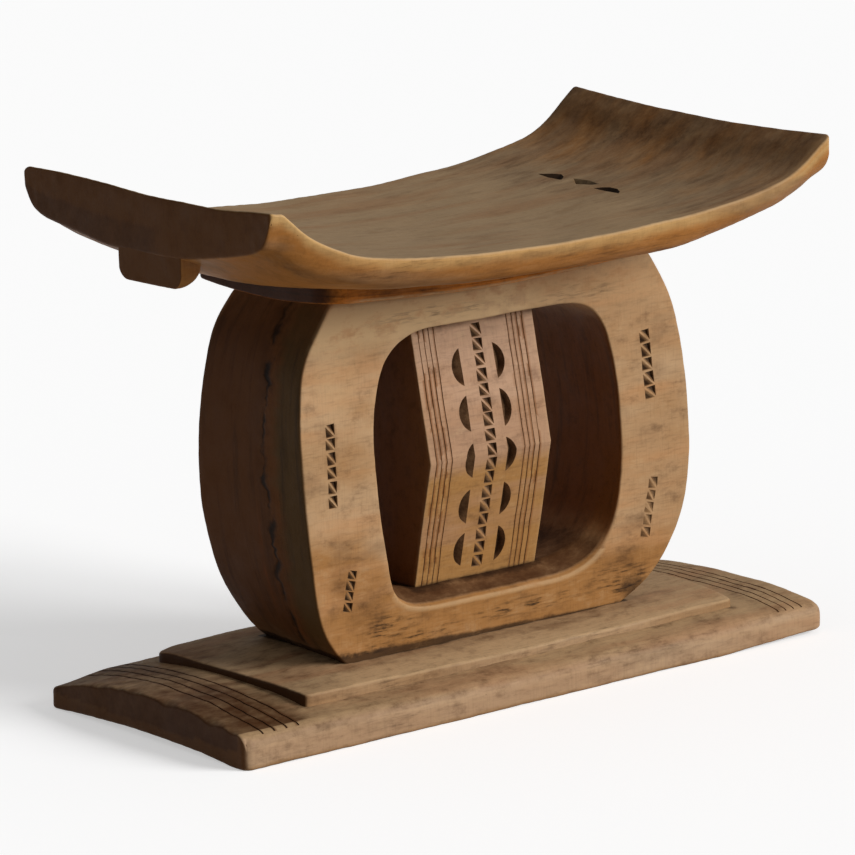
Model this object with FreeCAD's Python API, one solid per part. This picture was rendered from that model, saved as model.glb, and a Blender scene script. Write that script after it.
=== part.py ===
import FreeCAD, Part
import math
import os

# Carved saddle-seat stool with a closed ring and an inner column, in millimetres.
# +X runs along the seat to the right, +Y to the back and +Z up.
# The origin lies on the floor, under the middle of the foot slab.

# Fits and cutting
FIT = 0.2
OVERRUN = 20.0

# Foot slab
SLAB_LENGTH = 563.0
SLAB_DEPTH = 244.0
SLAB_LEFT_HEIGHT = 33.0
SLAB_LEFT_FRONT_HEIGHT = 25.0
SLAB_LEFT_BACK_HEIGHT = 18.0
SLAB_RIGHT_HEIGHT = 27.5
SLAB_RIGHT_FRONT_HEIGHT = 20.5
SLAB_RIGHT_BACK_HEIGHT = 22.0
SLAB_CORNER_RADIUS = 7.0
SLAB_EDGE_ROUNDING = 10.0
SLAB_HOLLOW_WIDTH = 216.0
SLAB_HOLLOW_RISE = 5.5
SLAB_HOLLOW_LENGTH = 125.0
SLAB_GROOVE_COUNT = 4
SLAB_GROOVE_FROM_END = 19.5
SLAB_GROOVE_PITCH = 10.4
SLAB_GROOVE_WIDTH = 1.8
SLAB_GROOVE_DEPTH = 1.6
SLAB_GROOVE_MARGIN = 4.0

# Plinth
PLINTH_LENGTH = 414.0
PLINTH_DEPTH = 190.0
PLINTH_THICKNESS = 20.5
PLINTH_EDGE_DROP = 6.0
PLINTH_HOUSING = 7.5
PLINTH_CORNER_RADIUS = 6.0
PLINTH_EDGE_ROUNDING = 2.0

# Ring
RING_DEPTH = 112.4
RING_HEIGHT = 271.0
RING_HOUSING = 6.5
RING_FOOT_THICKNESS = 46.0
RING_HEAD_THICKNESS = 28.0
RING_FOOT_LEFT = 131.0
RING_FOOT_RIGHT = 115.0
RING_HEAD_LEFT = 139.5
RING_HEAD_RIGHT = 154.0
RING_HALF_LENGTH = 188.0
RING_TENON_LEFT = 104.0
RING_TENON_RIGHT = 118.0
RING_TENON_DEPTH = 70.0
RING_TENON_HEIGHT = 5.0
# Outline of the ring's two sides, front and back: share of the half length and share of
# the height between the foot and the head
RING_FRONT_LEFT_SHARES = ((0.795, 0.088), (0.880, 0.240), (0.913, 0.450), (0.931, 0.655),
                          (0.904, 0.832), (0.813, 0.930))
RING_FRONT_RIGHT_SHARES = ((0.787, 0.052), (0.907, 0.117), (1.004, 0.211), (1.066, 0.405),
                           (1.048, 0.625), (0.977, 0.833), (0.872, 0.955))
RING_BACK_LEFT_SHARES = ((0.787, 0.094), (0.893, 0.220), (0.976, 0.447), (0.966, 0.673),
                         (0.902, 0.870), (0.795, 0.965))
RING_BACK_RIGHT_SHARES = ((0.787, 0.058), (0.887, 0.122), (0.970, 0.220), (1.030, 0.415),
                          (1.020, 0.640), (0.950, 0.845), (0.855, 0.960))

# Opening through the ring
OPENING_LEFT = 108.2
OPENING_RIGHT = 131.8
OPENING_LIP_DROP = 11.5
OPENING_FLOOR_DEPTH = 76.0
# Outline of the opening, from its floor clockwise: start of each stretch and the middle of
# its arc, as shares of the left or right reach and of the height. No middle: a line
OPENING_SHARES = (((-0.55, 0.0), (-0.78, 0.035)), ((-0.88, 0.125), (-1.0, 0.58)),
                  ((-0.945, 0.835), (-0.81, 0.945)), ((-0.56, 1.0), None),
                  ((0.59, 1.0), (0.80, 0.965)), ((0.895, 0.862), (1.0, 0.465)),
                  ((0.94, 0.197), (0.775, 0.05)), ((0.47, 0.0), None))

# Column
COLUMN_WIDTH = 116.8
COLUMN_CREASE_RISE = 96.0
COLUMN_CREASE_DEPTH = 120.0
COLUMN_FOOT_DEPTH = 75.0
COLUMN_HEAD_DEPTH = 79.0
COLUMN_ARRIS = 0.8
TONGUE_WIDTH = 50.0
TONGUE_FRONT = 22.0
TONGUE_FOOT_DROP = 18.0
TONGUE_HEAD_RISE = 10.0
COLUMN_GROOVE_COUNT = 4
COLUMN_GROOVE_PITCH = 4.95
COLUMN_GROOVE_LEFT_FIRST = 37.5
COLUMN_GROOVE_RIGHT_FIRST = 32.4
COLUMN_GROOVE_WIDTH = 1.2
COLUMN_GROOVE_DEPTH = 1.2
MOON_COUNT = 5
MOON_PITCH = 34.8
MOON_MIDDLE_DROP = 4.0
MOON_LENGTH = 27.5
MOON_WIDTH = 9.2
MOON_INNER_REACH = 15.8
MOON_DEPTH = 6.0

# Seat ledge
LEDGE_LENGTH = 324.0
LEDGE_DEPTH = 158.0
LEDGE_THICKNESS = 12.5
LEDGE_HOUSING = 6.5
LEDGE_BOW_RADIUS = 1389.0
LEDGE_CORNER_RADIUS = 14.0
LEDGE_EDGE_ROUNDING = 1.5

# Seat
SEAT_LENGTH = 531.0
SEAT_DEPTH = 298.0
SEAT_END_RISE = 56.5
SEAT_RIGHT_FRONT_DROP = 10.0
SEAT_MIDDLE_DISH = 4.0
SEAT_END_DISH = 8.0
SEAT_EDGE_FACE = 8.0
SEAT_MIDDLE_THICKNESS = 34.5
SEAT_END_THICKNESS = 48.0
# Rise of the seat's rim and growth of its thickness: share of the half length, share of
# the rise and share of the growth
SEAT_STATION_SHARES = ((0.0, 0.0, 0.0), (0.20, 0.012, 0.0), (0.38, 0.065, 0.0),
                       (0.52, 0.118, 0.0), (0.65, 0.20, -0.02), (0.75, 0.30, -0.09),
                       (0.83, 0.42, -0.06), (0.895, 0.60, 0.24), (0.95, 0.82, 0.62),
                       (1.0, 1.0, 1.0))
# Underside across the seat: share of the half depth and share of the drop below the edge
SEAT_UNDERSIDE_SHARES = ((1.0, 0.0), (0.965, 0.44), (0.86, 0.68), (0.54, 0.89), (0.0, 1.0))
# Chip cuts in the seat: places of the three corners, as shares of the half length and half
# depth, for each wedge
CHIP_SHARES = (((0.600, 0.470), (0.636, 0.345), (0.591, 0.257)),
               ((0.623, 0.230), (0.581, 0.122), (0.613, -0.005)),
               ((0.573, -0.028), (0.604, -0.140), (0.572, -0.245)))
CHIP_DEPTH = 3.0

# Lugs under the seat's ends
LUG_LENGTH = 18.0
LUG_DEPTH = 76.0
LUG_FORWARD_SHIFT = 4.0
LUG_DROP = 22.5
LUG_BELLY_RADIUS = 15.0
LUG_CORNER_RADIUS = 11.0
LUG_TENON_LENGTH = 9.0
LUG_TENON_DEPTH = 44.0
LUG_TENON_RISE = 9.0
LUG_TENON_FROM_END = 5.0

# Levels above the floor, each worked out from what carries the piece
PLINTH_FOOT_LEVEL = SLAB_RIGHT_HEIGHT - PLINTH_HOUSING
PLINTH_HEAD_LEVEL = PLINTH_FOOT_LEVEL + PLINTH_THICKNESS
RING_FOOT_LEVEL = PLINTH_HEAD_LEVEL - RING_HOUSING
LEDGE_LEVEL = RING_FOOT_LEVEL + RING_HEIGHT
OPENING_FLOOR_LEVEL = RING_FOOT_LEVEL + RING_FOOT_THICKNESS
OPENING_CEILING_LEVEL = LEDGE_LEVEL - RING_HEAD_THICKNESS
CREASE_LEVEL = OPENING_FLOOR_LEVEL + COLUMN_CREASE_RISE
SEAT_MIDDLE_LEVEL = LEDGE_LEVEL + LEDGE_THICKNESS - LEDGE_HOUSING + SEAT_MIDDLE_THICKNESS
SEAT_END_LEVEL = SEAT_MIDDLE_LEVEL + SEAT_END_RISE
LUG_HEAD_LEVEL = SEAT_END_LEVEL - SEAT_END_THICKNESS
LUG_FOOT_LEVEL = LUG_HEAD_LEVEL - LUG_DROP


def point(x, y, z):
    return FreeCAD.Vector(x, y, z)


def line(first, second):
    return Part.LineSegment(first, second).toShape()


def closed_face(points):
    return Part.Face(Part.makePolygon(list(points) + [points[0]]))


def block(left, right, front, back, foot, head):
    return Part.makeBox(right - left, back - front, head - foot, point(left, front, foot))


def smooth_curve(points):
    curve = Part.BSplineCurve()
    curve.interpolate(points)
    return curve.toShape()


def rounded_prism(length, depth, foot, head, radius):
    """Upright block with rounded corners in plan, centred on the Z axis."""
    body = block(-length / 2, length / 2, -depth / 2, depth / 2, foot, head)
    corners = [edge for edge in body.Edges if edge.BoundBox.ZLength > (head - foot) / 2]
    return body.makeFillet(radius, corners)


def crown_radius(depth, middle_height, edge_height):
    """Radius of the arc that drops from the middle height to the edge height."""
    drop = middle_height - edge_height
    return (depth * depth / 4 + drop * drop) / (2 * drop)


def edge_rounding(x, side, half, middle_height, edge_height, rounding):
    """Arc from the upright side over to the crown, which it meets without a crease."""
    slope = math.atan2(2 * (middle_height - edge_height), half - rounding)
    radius = rounding / (1 - math.sin(slope))
    places = []
    for turn in (0, (math.pi / 2 - slope) / 2, math.pi / 2 - slope):
        places.append(point(x, side * (half - radius + radius * math.cos(turn)),
                            edge_height + radius * (math.sin(turn) - math.cos(slope))))
    return places


def crowned_section(x, depth, foot, middle_height, front_height, back_height, rounding):
    """Outline across the depth whose top arches from the front edge to the back edge."""
    half = depth / 2
    front = edge_rounding(x, -1, half, middle_height, front_height, rounding)
    back = edge_rounding(x, 1, half, middle_height, back_height, rounding)
    front_foot = point(x, -half, foot)
    back_foot = point(x, half, foot)
    crown = Part.Arc(back[2], point(x, 0, middle_height), front[2]).toShape()
    return Part.Wire([line(front_foot, back_foot), line(back_foot, back[0]),
                      Part.Arc(*back).toShape(), crown, Part.Arc(*front[::-1]).toShape(),
                      line(front[0], front_foot)])


def bow_height(x, radius):
    """Height of the ledge's bow, or of an arc about the same centre, at a place along X."""
    return LEDGE_LEVEL + LEDGE_BOW_RADIUS - math.sqrt(radius * radius - x * x)


def bow_arc(left, right, y, radius):
    middle = (left + right) / 2
    return Part.Arc(point(left, y, bow_height(left, radius)),
                    point(middle, y, bow_height(middle, radius)),
                    point(right, y, bow_height(right, radius))).toShape()


def bowed_block(left, right, half_depth, foot, radius):
    """Block with a flat foot whose top follows the ledge's bow."""
    foot_left = point(left, -half_depth, foot)
    foot_right = point(right, -half_depth, foot)
    head_left = point(left, -half_depth, bow_height(left, radius))
    head_right = point(right, -half_depth, bow_height(right, radius))
    sides = [line(foot_left, foot_right), line(foot_right, head_right),
             bow_arc(left, right, -half_depth, radius), line(head_left, foot_left)]
    wire = Part.Wire(Part.__sortEdges__(sides))
    return Part.Face(wire).extrude(point(0, 2 * half_depth, 0))


def slab_hollow(side):
    """Shallow arch under one end of the slab, rising towards the end."""
    radius = crown_radius(SLAB_HOLLOW_WIDTH, SLAB_HOLLOW_RISE, 0)
    tilt = math.degrees(math.atan2(SLAB_HOLLOW_RISE, SLAB_HOLLOW_LENGTH))
    arch = Part.makeCylinder(radius, SLAB_HOLLOW_LENGTH + OVERRUN, point(0, 0, -radius),
                             point(1, 0, 0))
    arch.rotate(point(0, 0, 0), point(0, 1, 0), -tilt)
    arch.translate(point(SLAB_LENGTH / 2 - SLAB_HOLLOW_LENGTH, 0, 0))
    if side < 0:
        arch.rotate(point(0, 0, 0), point(0, 0, 1), 180)
    return arch


def slab_groove(x):
    half = SLAB_DEPTH / 2 - SLAB_GROOVE_MARGIN
    return block(x - SLAB_GROOVE_WIDTH / 2, x + SLAB_GROOVE_WIDTH / 2, -half, half,
                 SLAB_LEFT_BACK_HEIGHT - SLAB_EDGE_ROUNDING, SLAB_LEFT_HEIGHT + OVERRUN)


def make_base_slab():
    head = SLAB_LEFT_HEIGHT + OVERRUN
    left = crowned_section(-SLAB_LENGTH / 2, SLAB_DEPTH, 0, SLAB_LEFT_HEIGHT,
                           SLAB_LEFT_FRONT_HEIGHT, SLAB_LEFT_BACK_HEIGHT,
                           SLAB_EDGE_ROUNDING)
    right = crowned_section(SLAB_LENGTH / 2, SLAB_DEPTH, 0, SLAB_RIGHT_HEIGHT,
                            SLAB_RIGHT_FRONT_HEIGHT, SLAB_RIGHT_BACK_HEIGHT,
                            SLAB_EDGE_ROUNDING)
    slab = Part.makeLoft([left, right], True, True)
    slab = slab.common(rounded_prism(SLAB_LENGTH, SLAB_DEPTH, -OVERRUN, head,
                                     SLAB_CORNER_RADIUS))
    groove_floor = slab.copy()
    groove_floor.translate(point(0, 0, -SLAB_GROOVE_DEPTH))
    for side in (-1, 1):
        for index in range(SLAB_GROOVE_COUNT):
            from_end = SLAB_GROOVE_FROM_END + index * SLAB_GROOVE_PITCH
            groove = slab_groove(side * (SLAB_LENGTH / 2 - from_end))
            slab = slab.cut(groove.cut(groove_floor))
        slab = slab.cut(slab_hollow(side))
    housing = rounded_prism(PLINTH_LENGTH + 2 * FIT, PLINTH_DEPTH + 2 * FIT,
                            PLINTH_FOOT_LEVEL, head, PLINTH_CORNER_RADIUS + FIT)
    return slab.cut(housing)


def make_plinth():
    edge_height = PLINTH_HEAD_LEVEL - PLINTH_EDGE_DROP
    section = crowned_section(-PLINTH_LENGTH / 2, PLINTH_DEPTH, PLINTH_FOOT_LEVEL,
                              PLINTH_HEAD_LEVEL, edge_height, edge_height,
                              PLINTH_EDGE_ROUNDING)
    plinth = Part.Face(section).extrude(point(PLINTH_LENGTH, 0, 0))
    plinth = plinth.common(rounded_prism(PLINTH_LENGTH, PLINTH_DEPTH, 0,
                                         PLINTH_HEAD_LEVEL + OVERRUN,
                                         PLINTH_CORNER_RADIUS))
    return plinth.cut(ring_body(FIT))


def ring_side(shares, side, y, foot_x, head_x, clearance):
    """Curved side of the ring from its foot to its head."""
    head_z = bow_height(head_x, LEDGE_BOW_RADIUS)
    rise = head_z - RING_FOOT_LEVEL
    points = [point(foot_x, y, RING_FOOT_LEVEL)]
    for reach_share, height_share in shares:
        points.append(point(side * (reach_share * RING_HALF_LENGTH + clearance), y,
                            RING_FOOT_LEVEL + height_share * rise))
    points.append(point(head_x, y, head_z))
    return smooth_curve(points)


def ring_outline(left_shares, right_shares, y, clearance):
    foot_left = -RING_FOOT_LEFT - clearance
    foot_right = RING_FOOT_RIGHT + clearance
    head_left = -RING_HEAD_LEFT - clearance
    head_right = RING_HEAD_RIGHT + clearance
    foot = line(point(foot_left, y, RING_FOOT_LEVEL), point(foot_right, y, RING_FOOT_LEVEL))
    head = bow_arc(head_left, head_right, y, LEDGE_BOW_RADIUS)
    left = ring_side(left_shares, -1, y, foot_left, head_left, clearance)
    right = ring_side(right_shares, 1, y, foot_right, head_right, clearance)
    return Part.Wire(Part.__sortEdges__([foot, right, head, left]))


def ring_body(clearance):
    """The ring without its opening, or the space around it where a clearance is given."""
    half = RING_DEPTH / 2 + clearance
    front = ring_outline(RING_FRONT_LEFT_SHARES, RING_FRONT_RIGHT_SHARES, -half, clearance)
    back = ring_outline(RING_BACK_LEFT_SHARES, RING_BACK_RIGHT_SHARES, half, clearance)
    return Part.makeLoft([front, back], True, True)


def opening_outline(y, floor_height):
    """Rounded outline of the opening with its floor at the given height."""
    rise = OPENING_CEILING_LEVEL - floor_height

    def place(shares):
        reach = OPENING_LEFT if shares[0] < 0 else OPENING_RIGHT
        return point(shares[0] * reach, y, floor_height + shares[1] * rise)

    sides = []
    for index, (start, middle) in enumerate(OPENING_SHARES):
        end = OPENING_SHARES[(index + 1) % len(OPENING_SHARES)][0]
        if middle is None:
            sides.append(line(place(start), place(end)))
        else:
            sides.append(Part.Arc(place(start), place(middle), place(end)).toShape())
    return Part.Wire(sides)


def ring_opening():
    """Space through the ring, whose floor slopes down to a lip at the front and back."""
    face = RING_DEPTH / 2
    flat = OPENING_FLOOR_DEPTH / 2
    past = OPENING_FLOOR_LEVEL - OPENING_LIP_DROP * (face + FIT - flat) / (face - flat)
    sections = [opening_outline(-face - FIT, past), opening_outline(-flat, OPENING_FLOOR_LEVEL),
                opening_outline(flat, OPENING_FLOOR_LEVEL), opening_outline(face + FIT, past)]
    return Part.makeLoft(sections, True, True)


def ring_tenon(clearance):
    """Stub tenon on the ring's head, or the mortise for it where a clearance is given."""
    return bowed_block(-RING_TENON_LEFT - clearance, RING_TENON_RIGHT + clearance,
                       RING_TENON_DEPTH / 2 + clearance, OPENING_CEILING_LEVEL + TONGUE_HEAD_RISE,
                       LEDGE_BOW_RADIUS - RING_TENON_HEIGHT - clearance)


def ring_blank():
    """The ring before the column's grooves are cut."""
    return ring_body(0).fuse(ring_tenon(0)).cut(ring_opening()).removeSplitter()


def tongue_blocks(clearance):
    """Foot and head tongues of the column, or their grooves with a side clearance."""
    half = TONGUE_WIDTH / 2 + clearance
    front = -TONGUE_FRONT - clearance
    back = RING_DEPTH / 2 + clearance
    foot = block(-half, half, front, back, OPENING_FLOOR_LEVEL - TONGUE_FOOT_DROP,
                 OPENING_FLOOR_LEVEL)
    head = block(-half, half, front, back, OPENING_CEILING_LEVEL,
                 OPENING_CEILING_LEVEL + TONGUE_HEAD_RISE)
    return foot, head


def make_ring():
    foot_groove, head_groove = tongue_blocks(FIT)
    return ring_blank().cut(foot_groove).cut(head_groove)


def column_front(inset):
    """Points of the creased front from foot to head, set in by a distance."""
    return [point(0, -COLUMN_FOOT_DEPTH / 2 + inset, OPENING_FLOOR_LEVEL),
            point(0, -COLUMN_CREASE_DEPTH / 2 + inset, CREASE_LEVEL),
            point(0, -COLUMN_HEAD_DEPTH / 2 + inset, OPENING_CEILING_LEVEL)]


def column_skin(left, right, depth):
    """Layer of the creased front between two places along X, down to a depth."""
    outer = column_front(-OVERRUN)
    inner = column_front(depth)
    face = closed_face(outer + inner[::-1])
    face.translate(point(left, 0, 0))
    return face.extrude(point(right - left, 0, 0))


def moon_tool(side, height):
    """Half-moon scoop, shallow at its straight side and deep at its round side."""
    radius = (MOON_LENGTH * MOON_LENGTH / 4 + MOON_WIDTH * MOON_WIDTH) / (2 * MOON_WIDTH)
    outer = COLUMN_CREASE_DEPTH / 2 + OVERRUN
    disc = Part.makeCylinder(radius, 2 * outer,
                             point(side * (MOON_INNER_REACH + MOON_WIDTH - radius), -outer, height),
                             point(0, 1, 0))
    straight = side * MOON_INNER_REACH
    deep = side * (MOON_INNER_REACH + MOON_WIDTH)
    tool = None
    front = column_front(0)
    for lower, upper in ((front[0], front[1]), (front[1], front[2])):
        corners = []
        for place in (lower, upper):
            corners.append([point(straight, -OVERRUN + place.y, place.z),
                            point(straight, place.y, place.z),
                            point(deep, place.y + MOON_DEPTH, place.z),
                            point(deep, -OVERRUN + place.y, place.z)])
        wires = [Part.makePolygon(row + [row[0]]) for row in corners]
        wedge = Part.makeLoft(wires, True, True)
        tool = wedge if tool is None else tool.fuse(wedge)
    return tool.common(disc)


def cut_both_faces(body, tool):
    return body.cut(tool).cut(tool.mirror(point(0, 0, 0), point(0, 1, 0)))


def make_column():
    front = column_front(0)
    back = [point(0, -place.y, place.z) for place in front]
    face = closed_face(front + back[::-1])
    face.translate(point(-COLUMN_WIDTH / 2, 0, 0))
    body = face.extrude(point(COLUMN_WIDTH, 0, 0))
    upright = [edge for edge in body.Edges
               if edge.BoundBox.XLength < COLUMN_ARRIS and edge.BoundBox.ZLength > COLUMN_ARRIS]
    body = body.makeChamfer(COLUMN_ARRIS, upright)
    for side, first in ((-1, COLUMN_GROOVE_LEFT_FIRST), (1, COLUMN_GROOVE_RIGHT_FIRST)):
        for index in range(COLUMN_GROOVE_COUNT):
            x = side * (first + index * COLUMN_GROOVE_PITCH)
            groove = column_skin(x - COLUMN_GROOVE_WIDTH / 2, x + COLUMN_GROOVE_WIDTH / 2,
                                 COLUMN_GROOVE_DEPTH)
            body = cut_both_faces(body, groove)
        for index in range(MOON_COUNT):
            height = CREASE_LEVEL - MOON_MIDDLE_DROP + (index - (MOON_COUNT - 1) / 2) * MOON_PITCH
            body = cut_both_faces(body, moon_tool(side, height))
    blank = ring_blank()
    body = body.cut(blank)
    for tongue in tongue_blocks(0):
        body = body.fuse(tongue.common(blank))
    return body.removeSplitter()


def ledge_plan(clearance, foot, head):
    return rounded_prism(LEDGE_LENGTH + 2 * clearance, LEDGE_DEPTH + 2 * clearance, foot, head,
                         LEDGE_CORNER_RADIUS + clearance)


def ledge_blank(clearance, foot):
    """Block in the ledge's plan up to the bow of its top."""
    half = LEDGE_LENGTH / 2 + OVERRUN
    bowed = bowed_block(-half, half, LEDGE_DEPTH / 2 + OVERRUN, foot,
                        LEDGE_BOW_RADIUS - LEDGE_THICKNESS)
    return bowed.common(ledge_plan(clearance, foot - OVERRUN, SEAT_END_LEVEL))


def make_seat_ledge():
    foot = LEDGE_LEVEL - OVERRUN
    half = LEDGE_LENGTH / 2 + 2 * OVERRUN
    below = bowed_block(-half, half, LEDGE_DEPTH / 2 + 2 * OVERRUN, foot - OVERRUN,
                        LEDGE_BOW_RADIUS)
    ledge = ledge_blank(0, foot).cut(below)
    rim = [edge for edge in ledge.Edges
           if edge.BoundBox.ZMax < bow_height(LEDGE_LENGTH / 2, LEDGE_BOW_RADIUS) + FIT
           and edge.BoundBox.YLength < LEDGE_DEPTH]
    ledge = ledge.makeFillet(LEDGE_EDGE_ROUNDING, rim)
    return ledge.cut(ring_tenon(FIT))


def seat_section(x_share, rise_share, growth_share):
    """Closed outline of the seat across its depth at one place along its length."""
    x = x_share * SEAT_LENGTH / 2
    half = SEAT_DEPTH / 2
    rim = SEAT_MIDDLE_LEVEL + rise_share * (SEAT_END_LEVEL - SEAT_MIDDLE_LEVEL)
    dish = SEAT_MIDDLE_DISH + rise_share * (SEAT_END_DISH - SEAT_MIDDLE_DISH)
    thickness = SEAT_MIDDLE_THICKNESS + growth_share * (SEAT_END_THICKNESS - SEAT_MIDDLE_THICKNESS)
    front_drop = rise_share * SEAT_RIGHT_FRONT_DROP if x > 0 else 0

    def top_place(y, sag):
        return point(x, y, rim - sag - front_drop * (half - y) / (2 * half))

    def underside_place(y, drop_share):
        edge = top_place(y, SEAT_EDGE_FACE)
        return point(x, y, edge.z - drop_share * (edge.z - rim + thickness))

    shares = list(SEAT_UNDERSIDE_SHARES)
    underside = [underside_place(-depth_share * half, drop_share)
                 for depth_share, drop_share in shares]
    underside += [underside_place(depth_share * half, drop_share)
                  for depth_share, drop_share in shares[-2::-1]]
    front_top = top_place(-half, 0)
    back_top = top_place(half, 0)
    top = Part.Arc(back_top, top_place(0, dish), front_top).toShape()
    return Part.Wire([line(front_top, underside[0]), smooth_curve(underside),
                      line(underside[-1], back_top), top])


def seat_body():
    """The saddle board before it is cut for the ledge and the lugs."""
    stations = [(-x_share, rise, growth) for x_share, rise, growth in SEAT_STATION_SHARES[:0:-1]]
    stations += list(SEAT_STATION_SHARES)
    return Part.makeLoft([seat_section(*station) for station in stations], True, False)


def lug_tenon(side, clearance):
    """Blind tenon of a lug, or its mortise where a clearance is given."""
    outer = SEAT_LENGTH / 2 - LUG_TENON_FROM_END + clearance
    inner = outer - LUG_TENON_LENGTH - 2 * clearance
    left, right = sorted((side * inner, side * outer))
    half = LUG_TENON_DEPTH / 2 + clearance
    return block(left, right, -LUG_FORWARD_SHIFT - half, -LUG_FORWARD_SHIFT + half,
                 LUG_FOOT_LEVEL + LUG_BELLY_RADIUS / 2,
                 LUG_HEAD_LEVEL + LUG_TENON_RISE + clearance)


def chip_tool(corners):
    """Wedge cut in the seat's top, as deep as the chip at every corner."""
    sunk = SEAT_MIDDLE_LEVEL - SEAT_MIDDLE_DISH
    places = [point(x_share * SEAT_LENGTH / 2, y_share * SEAT_DEPTH / 2, sunk)
              for x_share, y_share in corners]
    return closed_face(places).extrude(point(0, 0, OVERRUN))


def make_seat():
    body = seat_body()
    seat = body.cut(ledge_blank(FIT, LEDGE_LEVEL - OVERRUN))
    for side in (-1, 1):
        seat = seat.cut(lug_tenon(side, FIT))
    sunk_body = body.copy()
    sunk_body.translate(point(0, 0, -CHIP_DEPTH))
    for corners in CHIP_SHARES:
        seat = seat.cut(chip_tool(corners).cut(sunk_body))
    return seat


def make_lug(side):
    """Rounded lug hung under one end of the seat, flush with the end face."""
    end = SEAT_LENGTH / 2
    front = -LUG_FORWARD_SHIFT - LUG_DEPTH / 2
    body = block(end - LUG_LENGTH, end, front, front + LUG_DEPTH, LUG_FOOT_LEVEL,
                 LUG_HEAD_LEVEL + LUG_TENON_RISE)
    foot_edges = [edge for edge in body.Edges if edge.BoundBox.ZMax < LUG_FOOT_LEVEL + FIT]
    along = [edge for edge in foot_edges if edge.BoundBox.XLength > LUG_LENGTH / 2]
    body = body.makeFillet(LUG_CORNER_RADIUS, along)
    belly = Part.makeCylinder(LUG_BELLY_RADIUS, 2 * LUG_DEPTH,
                              point(end - LUG_LENGTH + LUG_BELLY_RADIUS, -LUG_DEPTH,
                                    LUG_FOOT_LEVEL + LUG_BELLY_RADIUS), point(0, 1, 0))
    corner = block(end - LUG_LENGTH - OVERRUN, end - LUG_LENGTH + LUG_BELLY_RADIUS,
                   -LUG_DEPTH, LUG_DEPTH, LUG_FOOT_LEVEL - OVERRUN,
                   LUG_FOOT_LEVEL + LUG_BELLY_RADIUS).cut(belly)
    body = body.cut(corner)
    if side < 0:
        body = body.mirror(point(0, 0, 0), point(1, 0, 0))
    return body.cut(seat_body()).fuse(lug_tenon(side, 0))


def main():
    os.makedirs("parts", exist_ok=True)
    pieces = {
        "base_slab": make_base_slab(),
        "plinth": make_plinth(),
        "ring": make_ring(),
        "column": make_column(),
        "seat_ledge": make_seat_ledge(),
        "seat": make_seat(),
        "lug_left": make_lug(-1),
        "lug_right": make_lug(1),
    }
    for name, shape in pieces.items():
        if len(shape.Solids) == 1:
            shape = shape.Solids[0]
        box = shape.optimalBoundingBox()
        print(name, len(shape.Solids), "valid", shape.isValid(), "volume", round(shape.Volume),
              [round(value, 2) for value in (box.XMin, box.XMax, box.YMin, box.YMax, box.ZMin,
                                             box.ZMax)])
        shape.exportStep("parts/" + name + ".step")


main()
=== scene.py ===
# %% [markdown]
# # A carved stool in old, waxed wood
# The stool has a saddle seat with up-swept ends, a thin ledge plate under it, a broad closed
# ring with an angular post inside, a low plinth and a wide foot slab. This notebook dresses
# its measured model: it builds each piece again with soft, hand-cut surfaces, carves the
# patterns into it and gives it a worn wood finish.
#
# The first cell loads the measured model. Its box is kept, because the dressed stool must not
# outgrow it.

# %% Load the measured model
import math

import bmesh
import bpy
import numpy as np
from mathutils import Matrix, Vector, kdtree
from mathutils.bvhtree import BVHTree


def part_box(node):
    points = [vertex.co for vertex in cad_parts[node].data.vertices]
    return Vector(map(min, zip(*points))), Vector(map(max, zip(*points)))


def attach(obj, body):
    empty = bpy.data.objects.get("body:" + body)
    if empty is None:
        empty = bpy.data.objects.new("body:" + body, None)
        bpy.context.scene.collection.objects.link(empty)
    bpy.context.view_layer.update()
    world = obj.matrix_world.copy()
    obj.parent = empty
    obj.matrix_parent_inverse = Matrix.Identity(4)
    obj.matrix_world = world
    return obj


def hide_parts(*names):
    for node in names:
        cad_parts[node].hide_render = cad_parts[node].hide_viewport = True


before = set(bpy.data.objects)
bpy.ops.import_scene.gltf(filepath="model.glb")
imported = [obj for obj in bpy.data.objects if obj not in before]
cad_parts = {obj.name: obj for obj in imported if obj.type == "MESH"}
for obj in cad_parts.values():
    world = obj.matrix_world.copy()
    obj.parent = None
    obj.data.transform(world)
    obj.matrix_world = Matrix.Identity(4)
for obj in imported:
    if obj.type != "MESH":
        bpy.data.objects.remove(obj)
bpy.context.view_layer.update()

MM = 0.001

# %% [markdown]
# ## Tools for shaping wood
# A carver starts from a squared block. So do we: a block is a grid of points on six sides,
# with extra rows near its edges. The same block is then bent into a seat, a slab or a post by
# moving each point. That keeps tidy squares everywhere, which a sculpted or remeshed lump
# would not, and it leaves every size in plain sight.

# %% Easing and smooth curves
def smoothstep(low, high, value):
    """Eases from zero at low to one at high. With low above high it runs the other way."""
    share = np.clip((np.asarray(value, float) - low) / (high - low), 0, 1)
    return share * share * (3 - 2 * share)


def hill(value, middle, reach):
    """One at the middle, easing down to zero at the reach on either side."""
    return 1 - smoothstep(0, reach, np.abs(np.asarray(value, float) - middle))


def smooth_curve(value, places, heights):
    """Soft curve through a few given heights."""
    places, heights = np.asarray(places, float), np.asarray(heights, float)
    slopes = np.gradient(heights, places)
    index = np.clip(np.searchsorted(places, value) - 1, 0, len(places) - 2)
    step = places[index + 1] - places[index]
    share = np.clip((value - places[index]) / step, 0, 1)
    square, cube = share ** 2, share ** 3
    return (heights[index] * (2 * cube - 3 * square + 1) + heights[index + 1] * (3 * square - 2 * cube)
            + step * (slopes[index] * (cube - 2 * square + share) + slopes[index + 1] * (cube - square)))


def wobble(points, size, seed):
    """Soft uneven value at each point, about -1 to 1, in lumps of the given width."""
    dice = np.random.RandomState(seed)
    total = 0.0
    for _ in range(7):
        way = dice.normal(size=3)
        way *= 2 * math.pi / size / np.linalg.norm(way) * dice.uniform(0.45, 1.1)
        total = total + np.sin(points @ way + dice.uniform(0, 2 * math.pi))
    return total / 3.5


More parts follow.
